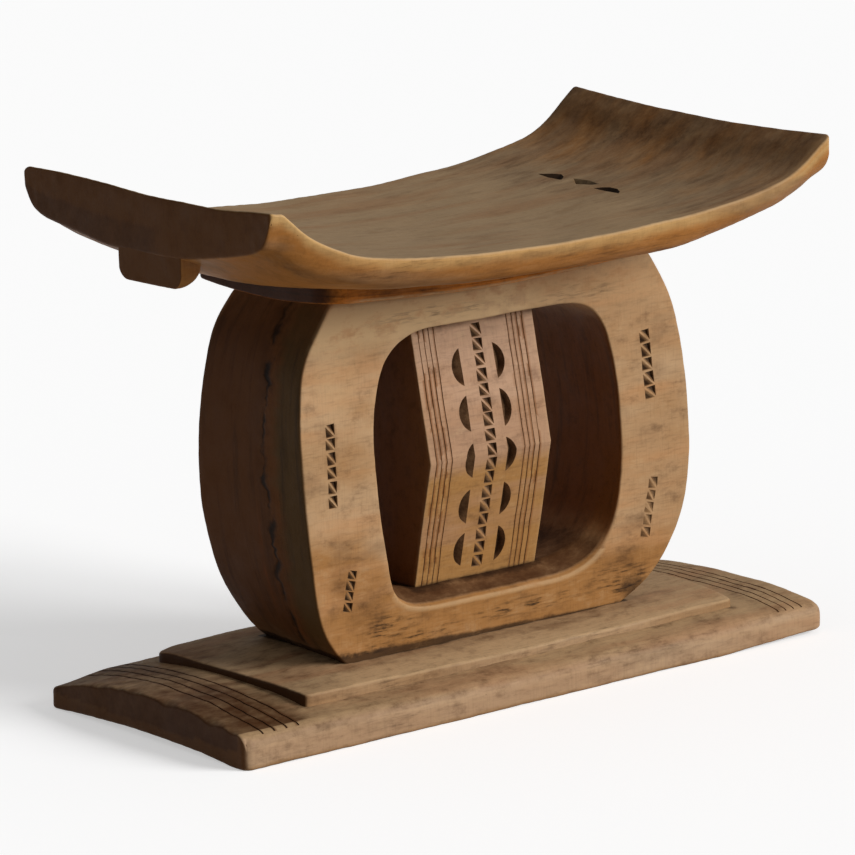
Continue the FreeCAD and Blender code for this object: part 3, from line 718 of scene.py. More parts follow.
# %% Carve the post
POST_HALF = (58.4, 60.0, 100.4)
POST_RADIUS, POST_MIDDLE, CREASE = 1.0, 178.5, 176.0
POST_LEVELS, POST_DEPTHS = (78.1, 80, CREASE, 277, 278.9), (37.2, 37.5, 60, 39.5, 39.3)
MOON_REACH, MOON_WIDTH, MOON_HALF, MOON_DEPTH, MOON_COUNT = 15.8, 9.2, 13.75, 5.8, 5
MOON_HEIGHTS = (241.6 - POST_MIDDLE, 102.4 - POST_MIDDLE)
GROOVES, GROOVES_REACH, RIGHT_GROOVE, LEFT_GROOVE = 4, 14.85, 32.4, 37.5


def moon_mark():
    """Half-moon with its straight side at zero, deepest not far inside its round side."""
    radius = (MOON_HALF ** 2 + MOON_WIDTH ** 2) / (2 * MOON_WIDTH)
    reach = math.asin(MOON_HALF / radius)
    turns = np.linspace(-reach, reach, 13)
    outline = [(MOON_WIDTH - radius + radius * math.cos(t), radius * math.sin(t)) for t in turns]
    keel = [(0.80 * (MOON_WIDTH - radius + radius * math.cos(t)), 0.86 * radius * math.sin(t),
             MOON_DEPTH * (1 - (t / reach) ** 2) ** 0.6) for t in turns[2:-2]]
    return mark_shape("half-moon", outline, keel)


def post_cutters(turn, seed):
    """Everything cut in one face of the post."""
    spin = Matrix.Rotation(turn, 3, "Z")
    face = -POST_HALF[1]
    cutters = notched_strip((2.4, face, 93.4), (-0.2, face, -93.0), 17, 9.4, 2.2, seed, turn)
    for side, roll, low in ((1, 0.0, RIGHT_GROOVE), (-1, math.pi, LEFT_GROOVE)):
        moon = moon_mark()
        place = [Vector((side * MOON_REACH, face, height)) for height in MOON_HEIGHTS]
        cutters.append(grow(marks, Start=spin @ place[0], End=spin @ place[1], Count=MOON_COUNT,
                            Turn=(0.0, roll, turn), Mark=moon, Slip=(0.3, 0.0, 0.7), Twist=(0.0, 0.03, 0.0),
                            Stretch=(0.04, 0.05, 0.04), Seed=seed + side + 1, Wood=cutting))
        remove(moon)
        first, last = (spin @ Vector((side * reach, face, 0)) for reach in (low, low + GROOVES_REACH))
        cutters.append(grow(grooves, Start=first, End=last, Count=GROOVES, From=(0, 0, -99.0),
                            To=(0, 0, 99.0), Steps=67, Width=0.5, Waver=(1.6, 0.9, 0),
                            Seed=seed + side + 2, Wood=cutting))
    return cutters


def bend_post(blank):
    """Creases the post's front and back, with a skin that keeps the depth of what is cut there."""
    points = blank.copy()
    points[:, 2] += POST_MIDDLE
    depth = np.interp(points[:, 2], POST_LEVELS, POST_DEPTHS)
    reach, skin = np.abs(points[:, 1]), 8.0
    core = (depth - skin) * np.minimum(reach / (POST_HALF[1] - skin), 1)
    points[:, 1] = np.sign(points[:, 1]) * (core + np.maximum(reach - POST_HALF[1] + skin, 0))
    return points


post_lines = [block_lines(POST_HALF[0], POST_RADIUS, 2.6), block_lines(POST_HALF[1], POST_RADIUS, 3.0),
              block_lines(POST_HALF[2], POST_RADIUS, 2.6, extra=[CREASE - POST_MIDDLE])]
post_blank, post_faces, post_deep, post_cut = carve(
    *rounded_block(POST_HALF, POST_RADIUS, post_lines, False),
    post_cutters(0.0, 40) + post_cutters(math.pi, 50), [CREASE - POST_MIDDLE])
post_points = bend_post(post_blank)
print("post:", len(post_faces), "faces,", np.ptp(post_points, axis=0).round(1), "mm")

# %% [markdown]
# ## Ledge, plinth and slab
# The three flat boards are blocks between two surfaces. The ledge is bowed like the seat's
# underside, so its own underside is pushed down towards its ends and its whole length follows an arc.
# Its left back corner is sharper than the others.

# %% Shape the ledge
LEDGE_HALF, LEDGE_LEVEL, BOW = (162.0, 79.0, 6.25), 305.0, 1389.0
LEDGE_RADIUS, LEDGE_CORNER = 1.4, 22.0


def bend_ledge(blank):
    behind = (blank[:, 0] < 0) & (blank[:, 1] > 0)
    points = round_plan(blank.copy(), LEDGE_HALF[:2], np.where(behind, LEDGE_CORNER / 4, LEDGE_CORNER))
    reach, across = np.abs(points[:, 0]), points[:, 1] / LEDGE_HALF[1]
    sag = 4.5 * smoothstep(60, 160, reach) * (1 - across ** 2) + 2 * smoothstep(90, 160, reach)
    points[:, 2] -= sag * (LEDGE_HALF[2] - points[:, 2]) / (2 * LEDGE_HALF[2])
    points[:, 2] += LEDGE_HALF[2] + LEDGE_LEVEL + BOW - np.sqrt(BOW ** 2 - points[:, 0] ** 2)
    return points


ledge_lines = [block_lines(half, LEDGE_RADIUS, gap) for half, gap in zip(LEDGE_HALF, (2.6, 2.6, 0.8))]
ledge_blank, ledge_faces = rounded_block(LEDGE_HALF, LEDGE_RADIUS, ledge_lines)
ledge_points = bend_ledge(ledge_blank)
print("ledge:", len(ledge_faces), "squares,", np.ptp(ledge_points, axis=0).round(1), "mm")

# %% [markdown]
# The plinth is the low step that the ring stands on. It is crowned, its front edge is worn low
# along the middle, and its left end is worn down as a whole. The crown is a power of the
# distance from the middle, which keeps the middle flat and lets the edges fall away.

# %% Shape the plinth
PLINTH_HALF, PLINTH_FOOT, PLINTH_HEAD = (207.0, 95.0, 10.25), 20.0, 40.5
PLINTH_RADIUS, PLINTH_CORNER = 2.0, 5.0


def plinth_top(x, y):
    front = np.interp(x, (-207, -150, -60, 110, 207), (1.0, 4.4, 7.2, 7.2, 6.0))
    drop = np.where(y < 0, front, np.interp(x, (-207, -130), (3.0, 5.5)))
    worn = 2.6 * smoothstep(-130, -207, x) + 2.0 * smoothstep(-180, -207, x) * smoothstep(65, 95, y)
    return PLINTH_HEAD - worn - drop * (np.abs(y) / PLINTH_HALF[1]) ** 3.6


def bend_plinth(blank):
    behind = (blank[:, 0] < 0) & (blank[:, 1] > 0)
    points = round_plan(blank.copy(), PLINTH_HALF[:2], np.where(behind, 3.6 * PLINTH_CORNER, PLINTH_CORNER))
    top = plinth_top(points[:, 0], points[:, 1])
    points[:, 2] = fit_between(points[:, 2], PLINTH_HALF[2], PLINTH_RADIUS, PLINTH_FOOT, top)
    return points


plinth_lines = [block_lines(half, PLINTH_RADIUS, 2.9) for half in PLINTH_HALF]
plinth_blank, plinth_faces = rounded_block(PLINTH_HALF, PLINTH_RADIUS, plinth_lines)
plinth_points = bend_plinth(plinth_blank)
print("plinth:", len(plinth_faces), "squares,", np.ptp(plinth_points, axis=0).round(1), "mm")

# %% [markdown]
# The slab is the wide foot. It is crowned too, droops at its left back corner, is hollowed
# under both ends and stands a little off the floor at its right front. Chips are missing along
# the upper edge of its left end. Four grooves cross each end, cut while the board is flat.

# %% Shape the slab
SLAB_HALF, SLAB_RADIUS, SLAB_CORNER, SLAB_ROUNDING = (281.5, 122.0, 14.0), 2.2, 7.0, 9.0
HOLLOW_HALF, HOLLOW_RISE, HOLLOW_LENGTH, RIGHT_ROUNDING = 108.0, 4.4, 125.0, 12.0
# Place, reach and depth of each chip
BITES = ((-104, 9, 1.6), (-79, 15, 2.6), (-47, 7, 0.8), (-28, 17, 2.4), (14, 13, 1.8), (33, 7, 0.7),
         (57, 16, 1.5))
SLAB_CROWN, CROWN_FALL = 33.0, 2.4


def slab_top(x, y, blank):
    """Crowned top. How far a point is from the edges is read on the blank, so corners stay even."""
    share = (x + SLAB_HALF[0]) / (2 * SLAB_HALF[0])
    middle = SLAB_CROWN - CROWN_FALL * share ** 2
    front_drop = np.interp(share, (0, 0.5, 0.85, 1), (8.6, 9.6, 7.8, 7.4))
    back_drop = 11.3 + 6.5 * smoothstep(-228, -284, x) + 2 * share
    outward_share = np.abs(y) / (SLAB_HALF[1] - SLAB_ROUNDING / 2)
    drop = np.where(y < 0, front_drop, back_drop) * outward_share ** np.where(y < 0, 2.2 + 1.8 * share, 2.0)
    over = np.clip(np.abs(blank[:, 1]) - (SLAB_HALF[1] - SLAB_ROUNDING), 0, SLAB_ROUNDING)
    rounding = SLAB_ROUNDING - np.sqrt(SLAB_ROUNDING ** 2 - over ** 2 * 0.985)
    end_over = np.clip(blank[:, 0] - (SLAB_HALF[0] - RIGHT_ROUNDING), 0, RIGHT_ROUNDING)
    end_rounding = 0.75 * (RIGHT_ROUNDING - np.sqrt(RIGHT_ROUNDING ** 2 - end_over ** 2 * 0.985))
    bites = sum(depth * hill(y, place, reach) for place, reach, depth in BITES)
    return middle - drop - np.maximum(rounding, end_rounding) - bites * smoothstep(6, 0, x + SLAB_HALF[0])


def slab_bottom(x, y):
    """Flat foot, hollowed under its ends and lifted a little at the right front."""
    along = np.clip((np.abs(x) - SLAB_HALF[0] + HOLLOW_LENGTH) / HOLLOW_LENGTH, 0, 1)
    raised = (1.7 * smoothstep(150, 225, x) + 1.9 * smoothstep(225, 281, x)) * smoothstep(90, -122, y)
    return np.maximum(HOLLOW_RISE * (along - (y / HOLLOW_HALF) ** 2), 0) + raised


def bend_slab(blank):
    right_end, front = blank[:, 0] > 0, blank[:, 1] < 0
    corner = np.where(right_end, np.where(front, 2.0, 1.4), np.where(front, 1.0, 1.6))
    points = round_plan(blank.copy(), SLAB_HALF[:2], SLAB_CORNER * corner)
    x, y = points[:, 0], points[:, 1]
    points[:, 2] = fit_between(points[:, 2], SLAB_HALF[2], SLAB_RADIUS, slab_bottom(x, y),
                               slab_top(x, y, blank))
    return points


# First and last groove, slant, level and seed of the grooves at each end
GROOVE_ROWS = ((-230.8, -262.0, 12.0, 13.7, 59), (234.4, 258.8, 0.0, 14.1, 61))
slab_cutters = []
for first, last, slant, level, seed in GROOVE_ROWS:
    slab_cutters.append(grow(grooves, Start=(first, -3.0, level), End=(last, -3.0, level),
                             Count=GROOVES, From=(0, -114.0, 0), To=(slant, 116.0, 0), Steps=80,
                             Width=0.8, Waver=(4.0, 0, 0.9), Seed=seed, Wood=cutting))
slab_lines = [block_lines(SLAB_HALF[0], SLAB_RADIUS, 3.3, 30, 2.0),
              block_lines(SLAB_HALF[1], SLAB_RADIUS, 3.3, 12, 1.2),
              block_lines(SLAB_HALF[2], SLAB_RADIUS, 3.5)]
slab_blank, slab_faces, _, slab_cut = carve(*rounded_block(SLAB_HALF, SLAB_RADIUS, slab_lines),
                                            slab_cutters)
slab_points = bend_slab(slab_blank)
print("slab:", len(slab_faces), "faces,", np.ptp(slab_points, axis=0).round(1), "mm")

# %% [markdown]
# ## Lugs
# A small rounded lug hangs under each end of the seat, a hair inside the end's face, so that
# a crisp line shows where the seat's edge stops. Its inner side curves up like a quarter of a
# roll, and its two lower corners are rounded. One block makes both: the second is mirrored.

# %% Shape a lug
LUG_HALF, LUG_FOOT, LUG_HEAD = (9.0, 38.0, 13.25), 331.6, 360.0
LUG_RADIUS, LUG_MIDDLE_Y, BELLY, LUG_CORNER, LUG_INSET = 1.2, -4.0, 15.0, 11.0, 0.5


def quarter_rise(inside, radius):
    """Height of a quarter round above its foot, at a distance inside its outer face."""
    return radius - np.sqrt(np.maximum(radius ** 2 - np.maximum(radius - inside, 0) ** 2, 0))


def bend_lug(blank, side):
    points = blank.copy()
    belly = quarter_rise(points[:, 0] + LUG_HALF[0], BELLY)
    corner = quarter_rise(LUG_HALF[1] - np.abs(points[:, 1]), LUG_CORNER)
    foot = LUG_FOOT + np.minimum(np.hypot(belly, corner), LUG_HEAD - LUG_FOOT - 2.5 * LUG_RADIUS)
    points[:, 2] = fit_between(points[:, 2], LUG_HALF[2], LUG_RADIUS, foot, LUG_HEAD)
    points[:, 0] = side * (points[:, 0] + SEAT_HALF[0] - LUG_HALF[0] - LUG_INSET)
    points[:, 1] += LUG_MIDDLE_Y
    return points


lug_lines = [block_lines(LUG_HALF[0], LUG_RADIUS, 1.0), block_lines(LUG_HALF[1], LUG_RADIUS, 2.0, 8, 1.0),
             block_lines(LUG_HALF[2], LUG_RADIUS, 1.6)]
lug_blank, lug_faces = rounded_block(LUG_HALF, LUG_RADIUS, lug_lines, False)
print("lug:", len(lug_faces), "squares")

# %% [markdown]
# ## Old wood
# Every piece comes from one pale log whose grain runs along the stool. The sawn or adzed
# fronts show long streaks and stay golden, the tops have gone grey from hands and dust, and
# the ends drink dirt and turn dark. So one recipe serves all pieces: long stretched noise for
# the grain, broad noise for the patches, and masks painted on the mesh for where the wood is
# worn, dirty or stained, and for painted shade and painted highlights. All of it is laid out
# in the object's own space, so it stays put.

# %% Node helpers
def calc(tree, operation, first, second=0.0):
    made = add(tree, "ShaderNodeMath", {0: first, 1: second}, operation=operation)
    return made.outputs[0]


def product(tree, first, *others):
    for other in others:
        first = calc(tree, "MULTIPLY", first, other)
    return first


def swing(tree, noise, amount=1.0):
    """Noise moved so that it swings round zero."""
    return product(tree, calc(tree, "SUBTRACT", noise, 0.5), amount)


def blend(tree, share, under, over):
    return add(tree, "ShaderNodeMix", {0: share, 6: under, 7: over}, data_type="RGBA").outputs[2]


def ramp(tree, value, low, high):
    """Value stretched so that low gives zero and high gives one, whichever of them is larger."""
    made = add(tree, "ShaderNodeMapRange", {0: value, 1: low, 2: high},
               interpolation_type="SMOOTHSTEP")
    return made.outputs[0]


def tone(red, green, blue):
    """Colour as it looks on a screen, from 0 to 255, turned into light."""
    parts = [value / 255 for value in (red, green, blue)]
    return tuple(((p + 0.055) / 1.055) ** 2.4 if p > 0.04045 else p / 12.92 for p in parts) + (1.0,)


def streaks(tree, place, stretch, seed, detail=4.0, rough=0.55):
    """Noise with its own number of lumps in a metre along X, Y and Z. Few along X make grain."""
    moved = add(tree, "ShaderNodeMapping", {0: place, 1: (seed * 1.37, seed * 0.71, seed * 0.53),
                                            3: stretch})
    made = add(tree, "ShaderNodeTexNoise", {"Vector": moved.outputs[0], "Scale": 1.0, "Detail": detail,
                                           "Roughness": rough})
    return made.outputs[0]


def mask(tree, name):
    return add(tree, "ShaderNodeAttribute", attribute_name=name).outputs["Fac"]


print("mid grey turned into light:", round(tone(128, 128, 128)[0], 3))

# %% [markdown]
# Real old wood is built up in coats: the wood's own colour, the tan of age, dirt in the pores,
# then wear that takes it off again. The recipe follows the same order. The wear coat also
# carries painted highlights and painted light. A coat is a colour and one or more masks that
# say how much of it is left in each place. Noise breaks the edge of every mask, because a
# smooth edge looks sprayed on.

# %% Paint in coats
# The worn tone is the pale of rubbed wood, and also the colour of painted highlights and painted light.
WORN_AND_HIGHLIGHT_TONE, DIRT_TONE, SOOT_TONE, SHADE_TONE = (206, 172, 128), (40, 24, 13), (20, 13, 9), (74, 44, 22)
BUMP_HEIGHT, WAX_SHINE = 0.001, 0.10


def layers(tree, body, *coats):
    """Paints coats over each other. A coat is a colour and the masks that limit it."""
    for over, *shares in coats:
        body = blend(tree, product(tree, *shares), body, over)
    return body


def wood_skin(tree, body, rough, height, strength=0.3):
    """Joins a finish to its shader. Wood has a dull shine, so only its roughness varies."""
    bump = add(tree, "ShaderNodeBump", {"Strength": strength, "Distance": BUMP_HEIGHT,
                                        "Height": height})
    skin = add(tree, "ShaderNodeBsdfPrincipled", {"Base Color": body, "Roughness": rough,
                                                 "Specular IOR Level": WAX_SHINE,
                                                 "Normal": bump.outputs[0]})
    out = add(tree, "ShaderNodeOutputMaterial")
    tree.links.new(skin.outputs[0], out.inputs[0])


def new_finish(name):
    made = bpy.data.materials.new(name)
    made.use_nodes = True
    made.node_tree.nodes.clear()
    return made, made.node_tree, add(made.node_tree, "ShaderNodeTexCoord").outputs["Object"]


print("wear and dirt tones:", WORN_AND_HIGHLIGHT_TONE, DIRT_TONE, SOOT_TONE, SHADE_TONE)

# %% [markdown]
# Seven noises serve all the wood. Broad bands and patches change its colour from place to
# place, smudges are what hands leave, and the fine ones are pores, tool marks and specks. Some
# of the same noises also roughen and raise the surface. Inside a cut the wood is fresher and
# its pattern plainer, so cuts have a recipe of their own.

# %% Mix the wood
def old_wood(name, seed, golden, tanned, warm, top, end, rust, grain=0.2, heart=False, mottle=1.0):
    """Old, waxed and handled wood, with its grain along X."""
    made, tree, place = new_finish(name)
    broad = streaks(tree, place, (4, 12, 14), seed, 3.0)
    band = streaks(tree, place, (4, 28, 28), seed + 2, 3.0, 0.6)
    patch = streaks(tree, place, (17, 34, 34), seed + 3, 4.0, 0.6)
    smudge = streaks(tree, place, (50 * mottle, 85, 85), seed + 8, 5.0, 0.68)
    fine = streaks(tree, place, (60, 520, 520), seed + 5, 4.0, 0.6)
    hatch = streaks(tree, place, (620, 420, 70), seed + 6, 2.0, 0.5)
    specks = streaks(tree, place, (200, 340, 340), seed + 13, 3.0, 0.55)
    dirt, soot, deep, worn = (tone(*shade) for shade in (DIRT_TONE, SOOT_TONE, SHADE_TONE, WORN_AND_HIGHLIGHT_TONE))
    warmth = calc(tree, "ADD", mask(tree, "warm"), swing(tree, patch))
    body = layers(
        tree, blend(tree, ramp(tree, broad, 0.34, 0.66), tone(*golden), tone(*tanned)),
        (tone(*top), mask(tree, "top"), ramp(tree, patch, 0.10, 0.40)),
        (tone(*warm), ramp(tree, warmth, 0.10, 0.85)),
        (tone(*rust), ramp(tree, band, 0.46, 0.66), 0.7),
        (tone(*end), mask(tree, "end")))
    along = calc(tree, "SUBTRACT", 1.0, mask(tree, "end"))
    shade = mask(tree, "shade")
    shaded = calc(tree, "ADD", shade, swing(tree, smudge, 0.8))
    body = layers(
        tree, body,
        (deep, ramp(tree, patch, 0.45, 0.25), 0.34),
        (deep, ramp(tree, smudge, 0.50, 0.76), 0.42 * mottle),
        (worn, ramp(tree, smudge, 0.46, 0.26), along, 0.22 * mottle),
        (dirt, ramp(tree, fine, 0.48, 0.74), grain),
        (dirt, ramp(tree, hatch, 0.46, 0.72), 0.09),
        (worn, ramp(tree, fine, 0.46, 0.26), along, 0.6 * grain),
        (deep, ramp(tree, shaded, 0.05, 1.0), ramp(tree, shade, 0.0, 0.15)),
        (dirt, ramp(tree, specks, 0.70, 0.80), ramp(tree, patch, 0.45, 0.60), 0.8),
        # The wear mask paints rubbed edges, and also painted highlights and painted light.
        (worn, mask(tree, "wear"), ramp(tree, smudge, 0.30, 0.55)))
    line = 0.0
    if heart:
        body, line = heart_streak(tree, place, body)
    grime = mask(tree, "grime")
    dirty = calc(tree, "ADD", grime, swing(tree, smudge, 1.2))
    dashes = product(tree, ramp(tree, fine, 0.45, 0.66), ramp(tree, smudge, 0.36, 0.60))
    body = layers(tree, body,
                  (dirt, ramp(tree, dirty, 0.1, 0.95), ramp(tree, grime, 0.0, 0.12), 0.85),
                  (soot, mask(tree, "stain"), dashes))
    rough = calc(tree, "ADD", product(tree, smudge, 0.25), product(tree, patch, 0.2))
    height = calc(tree, "ADD", product(tree, fine, 0.35), product(tree, smudge, 0.65))
    wood_skin(tree, body, calc(tree, "ADD", rough, 0.34), calc(tree, "SUBTRACT", height, line))
    return made


def cut_wood(name, seed, fresh, dusty):
    """Wood inside a cut: plain where it is clean, black with dirt where the soot mask says so."""
    made, tree, place = new_finish(name)
    patch = streaks(tree, place, (60, 90, 90), seed, 3.0)
    fine = streaks(tree, place, (90, 500, 500), seed + 5, 4.0, 0.6)
    sooty = calc(tree, "ADD", mask(tree, "soot"), swing(tree, patch, 0.6))
    dirt = tone(*DIRT_TONE)
    body = layers(tree, blend(tree, ramp(tree, patch, 0.35, 0.65), tone(*fresh), tone(*dusty)),
                  (dirt, ramp(tree, sooty, 0.0, 1.0), 0.9), (dirt, ramp(tree, fine, 0.45, 0.7), 0.3))
    wood_skin(tree, body, calc(tree, "ADD", product(tree, fine, 0.3), 0.5), fine, 0.4)
    return made


print("finish recipes ready")

# %% [markdown]
# The ring's left side shows where the tree's heart was opened: a dark, broken line that wanders
# up and down, browner wood behind it, greener wood before it, and rusty streaks beside its
# lower half. Noise along the height pushes the line to and fro and breaks it up. Upright soot
# streaks lie on all the end wood, inside the opening too.

# %% Draw the heart line
HEART_Y = 0.0165
# Stretch, seed and reach of each wiggle
HEART_WIGGLES = ((14, 4.4, 0.020), (75, 5.1, 0.013), (190, 6.2, 0.006))
BROWNER_TONE, GREENER_TONE, RUSTY_TONE = (92, 56, 30), (82, 64, 36), (150, 78, 30)


def heart_streak(tree, place, body):
    """Ring's end wood with its heart line, and how deep the line is."""
    parts = add(tree, "ShaderNodeSeparateXYZ", {0: place}).outputs
    shifted = calc(tree, "ADD", parts[1], HEART_Y)
    for stretch, seed, reach in HEART_WIGGLES:
        drift = streaks(tree, place, (1, 1, stretch), seed, 1.0, 0.5)
        shifted = calc(tree, "ADD", shifted, swing(tree, drift, reach))
    away = calc(tree, "ABSOLUTE", shifted)
    gaps = streaks(tree, place, (20, 60, 45), 7.3, 3.0, 0.6)
    upright = streaks(tree, place, (30, 120, 9), 8.1, 5.0, 0.66)
    torn = streaks(tree, place, (1, 30, 60), 9.4, 3.0, 0.6)
    ragged = calc(tree, "ADD", ramp(tree, torn, 0.38, 0.68), 0.45)
    end = mask(tree, "end")
    side = product(tree, end, ramp(tree, parts[0], -0.05, -0.12))
    low, high = ramp(tree, parts[2], 0.22, 0.12), ramp(tree, parts[2], 0.14, 0.24)
    near = ramp(tree, away, 0.021, 0.003)
    line = product(tree, ramp(tree, calc(tree, "DIVIDE", away, ragged), 0.0046, 0.0006),
                   ramp(tree, gaps, 0.36, 0.60), side)
    soot, deep = tone(*SOOT_TONE), tone(*SHADE_TONE)
    return layers(
        tree, body,
        (tone(*BROWNER_TONE), ramp(tree, shifted, -0.004, 0.010), side, 0.8),
        (tone(*GREENER_TONE), ramp(tree, shifted, -0.004, -0.018), side, 0.8),
        (soot, ramp(tree, upright, 0.46, 0.74), end, 0.5),
        (tone(*RUSTY_TONE), near, ramp(tree, upright, 0.50, 0.30), low, side, 0.75),
        (soot, ramp(tree, away, 0.010, 0.001), side, high, ramp(tree, gaps, 0.40, 0.62), 0.6),
        (deep, near, side, 0.4), (soot, line, 0.9)), line


print("heart line lies", HEART_Y / MM, "mm before the ring's middle")

# %% [markdown]
# One log, but each piece has aged in its own way: the seat has gone grey, the ledge in its
# shelter has stayed orange, the slab is pale with dust. So the recipe is shared, and the tones
# are chosen for each piece.

# %% Name the finishes
# Golden, tanned, warm, top, end and rust tone of each piece
TONES = {
    "seat": ((206, 164, 106), (188, 142, 86), (182, 120, 58), (164, 136, 102), (98, 60, 26),
             (156, 118, 82)),
    "ring": ((198, 164, 126), (178, 140, 100), (160, 112, 62), (164, 124, 86), (124, 76, 36),
             (188, 138, 92)),
    "post": ((190, 152, 122), (176, 136, 104), (170, 124, 72), (128, 92, 60), (132, 82, 40),
             (172, 130, 96)),
    "ledge": ((230, 138, 48), (200, 116, 44), (160, 94, 42), (130, 90, 54), (66, 34, 14),
              (150, 92, 44)),
    "plinth": ((172, 140, 106), (158, 122, 84), (146, 104, 62), (186, 154, 116), (70, 42, 19),
               (170, 126, 90)),
    "slab": ((188, 157, 124), (172, 137, 104), (148, 110, 70), (180, 148, 110), (102, 66, 36),
             (172, 130, 94)),
}
OF_ITS_OWN = {"seat": {"grain": 0.13, "mottle": 0.5}, "ring": {"heart": True}}
woods = {name: old_wood(name + " wood", seed, *tones, **OF_ITS_OWN.get(name, {}))
         for seed, (name, tones) in enumerate(TONES.items(), 1)}
# Fresh and dusty tone inside the cuts of each piece
CUT_TONES = {"post": ((150, 114, 80), (122, 86, 56)), "ring": ((156, 120, 82), (128, 92, 58)),
             "seat": ((120, 96, 66), (100, 78, 52)), "slab": ((138, 104, 72), (112, 80, 52))}
cuts = {name: cut_wood(name + " cuts", seed, *tones)
        for seed, (name, tones) in enumerate(CUT_TONES.items(), 21)}
print("finishes:", ", ".join(woods))

# %% [markdown]
# ## Put the pieces together
# Each piece gets its masks, its finish and its place in the measured model. Worn and dirty
# places follow how the stool is used: edges rub pale, corners between two pieces hold dirt,
# and the wood under the seat has stayed warm and orange where no hand reaches. A few pale
# marks are painted light instead: highlights along rounded edges, and light where the seat
# would shade the ring.

# %% Masks that every piece has
PAINTED = ("wear", "grime", "stain", "warm", "soot", "shade")
SHARP_EDGE = math.radians(38)


def facing_masks(mesh):
    """Masks for what faces up and what faces along the grain."""
    normals = np.empty(len(mesh.vertices) * 3, np.float32)
    mesh.vertices.foreach_get("normal", normals)
    normals = normals.reshape(-1, 3)
    for name, values in (("top", smoothstep(0.45, 0.95, normals[:, 2])),
                         ("end", smoothstep(0.50, 0.92, np.abs(normals[:, 0])))):
        layer = mesh.attributes.new(name, "FLOAT", "POINT")
        layer.data.foreach_set("value", values.astype(np.float32))


def finish_piece(name, node, wood, points, faces, masks, seed, cut=0.35, slots=None):
    """Uneven surface, masks and finish for one piece, kept inside its measured box."""
    low, high = (np.array(corner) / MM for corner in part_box(node))
    points = np.clip(hand_cut(points, seed, cut), np.minimum(low, high), np.maximum(low, high))
    whole = {mark: masks.get(mark, 0.0) + np.zeros(len(points)) for mark in PAINTED}
    piece = make_mesh(name, points, faces, whole, slots or [0] * len(faces))
    piece.data.set_sharp_from_angle(angle=SHARP_EDGE)
    facing_masks(piece.data)
    piece.data.materials.append(woods[wood])
    if slots:
        piece.data.materials.append(cuts[wood])
    pieces[name] = (piece, node)
    return piece


def near_box(points, half_x, half_y, reach):
    """One against an upright box round the middle, easing away from it."""
    outside = np.abs(points[:, :2]) - (half_x, half_y)
    return 1 - smoothstep(0, reach, np.hypot(*np.maximum(outside, 0).T))


def spots(points, places):
    """Strongest of several soft spots, each with its centre and its reach."""
    return np.max([spot(points, centre, reach) for centre, reach in places], axis=0)


def strongest(*masks):
    return np.max(np.broadcast_arrays(*masks), axis=0)


print("masks painted on each piece:", ", ".join(PAINTED))

# %% [markdown]
# The seat's front edge is rubbed pale, its right end is dark and its underside warm. The ledge
# keeps a dirty line where it meets the seat, and a painted highlight along its lower edge. The
# lugs share the seat's wood.

# %% Seat, ledge and lugs
SEAT_MARKS = (((30, -147, 337), (60, 9, 9)), ((150, -147, 344), (40, 9, 9)))
SEAT_STAINS = (((243, 30, 380), (18, 26, 30)), ((236, 62, 375), (12, 20, 30)),
               ((246, -2, 384), (12, 12, 30)), ((10, -146, 332), (90, 9, 10)),
               ((90, -146, 330), (120, 12, 14)), ((-150, -146, 345), (70, 12, 12)))
NOTCH_MIDDLE, NOTCH_REACH = 16.0, 17.5

x, y, z = seat_points.T
rim, bottom = seat_rim(x, y), seat_bottom(x, y)
under = z < bottom + 0.45 * (seat_top(x, y) - bottom)
edge = edge_distance(seat_blank, SEAT_HALF)
shade_below = strongest(0.06 * smoothstep(20, 34, rim - z), 0.24 * smoothstep(-112, -136, y),
                        0.6 * smoothstep(-222, -240, x) * smoothstep(-30, 0, y))
shade_above = strongest(0.52 * smoothstep(170, 255, x), 0.36 * smoothstep(70, 170, x),
                        0.2 * smoothstep(-200, -262, x))
shade_above = shade_above * smoothstep(146, 138, -y) + 0.4 * spots(seat_points, SEAT_MARKS)
finish_piece("carved_seat", "seat", "seat", seat_points, seat_faces, {
    "wear": 0.6 * (1 - smoothstep(0.3, 2.2, edge)) * (y < 0) * ~under * (np.abs(x) < 262),
    "grime": near_box(seat_points, 162, 79, 8) * under,
    "warm": np.where(under, smoothstep(0, 18, rim - z), 0.42 * smoothstep(120, 235, x)),
    "shade": np.where(under, shade_below, shade_above),
    "stain": 0.3 * spots(seat_points, SEAT_STAINS),
    "soot": np.where(np.abs(y - NOTCH_MIDDLE) < NOTCH_REACH, 0.35, 0.95)}, 11, slots=seat_cut)
level = ledge_blank[:, 2]
lit = smoothstep(-152, -135, ledge_points[:, 0])
finish_piece("carved_ledge", "seat_ledge", "ledge", ledge_points, ledge_faces, {
    # Painted highlight: a pale band along the ledge's lower rounded edge, away from its left end.
    "wear": 0.7 * smoothstep(-3.4, -4.8, level) * smoothstep(-6.4, -5.4, level) * lit,
    "grime": strongest(0.15 * smoothstep(4, 6, level), 0.6 * hill(level, -1.6, 0.9)),
    "stain": 0.25}, 41, 0.25)
for side, node in ((-1, "lug_left"), (1, "lug_right")):
    points = bend_lug(lug_blank, side)
    finish_piece("carved_" + node, node, "seat", points, outward(points, lug_faces), {
        "warm": 0.7, "grime": 0.5 * smoothstep(353, 359, points[:, 2])}, 71, 0.2)
print("made:", ", ".join(pieces))

# %% [markdown]
# The ring is palest at its head, where painted light lifts the shade that the seat casts
# there, and the opening's lip gets a painted highlight. The ring is warm and stained at its
# foot, and dirty wherever another piece meets it. After the carving its points are new, so
# each one looks up the nearest point of the uncut ring to learn how far it is from an edge.

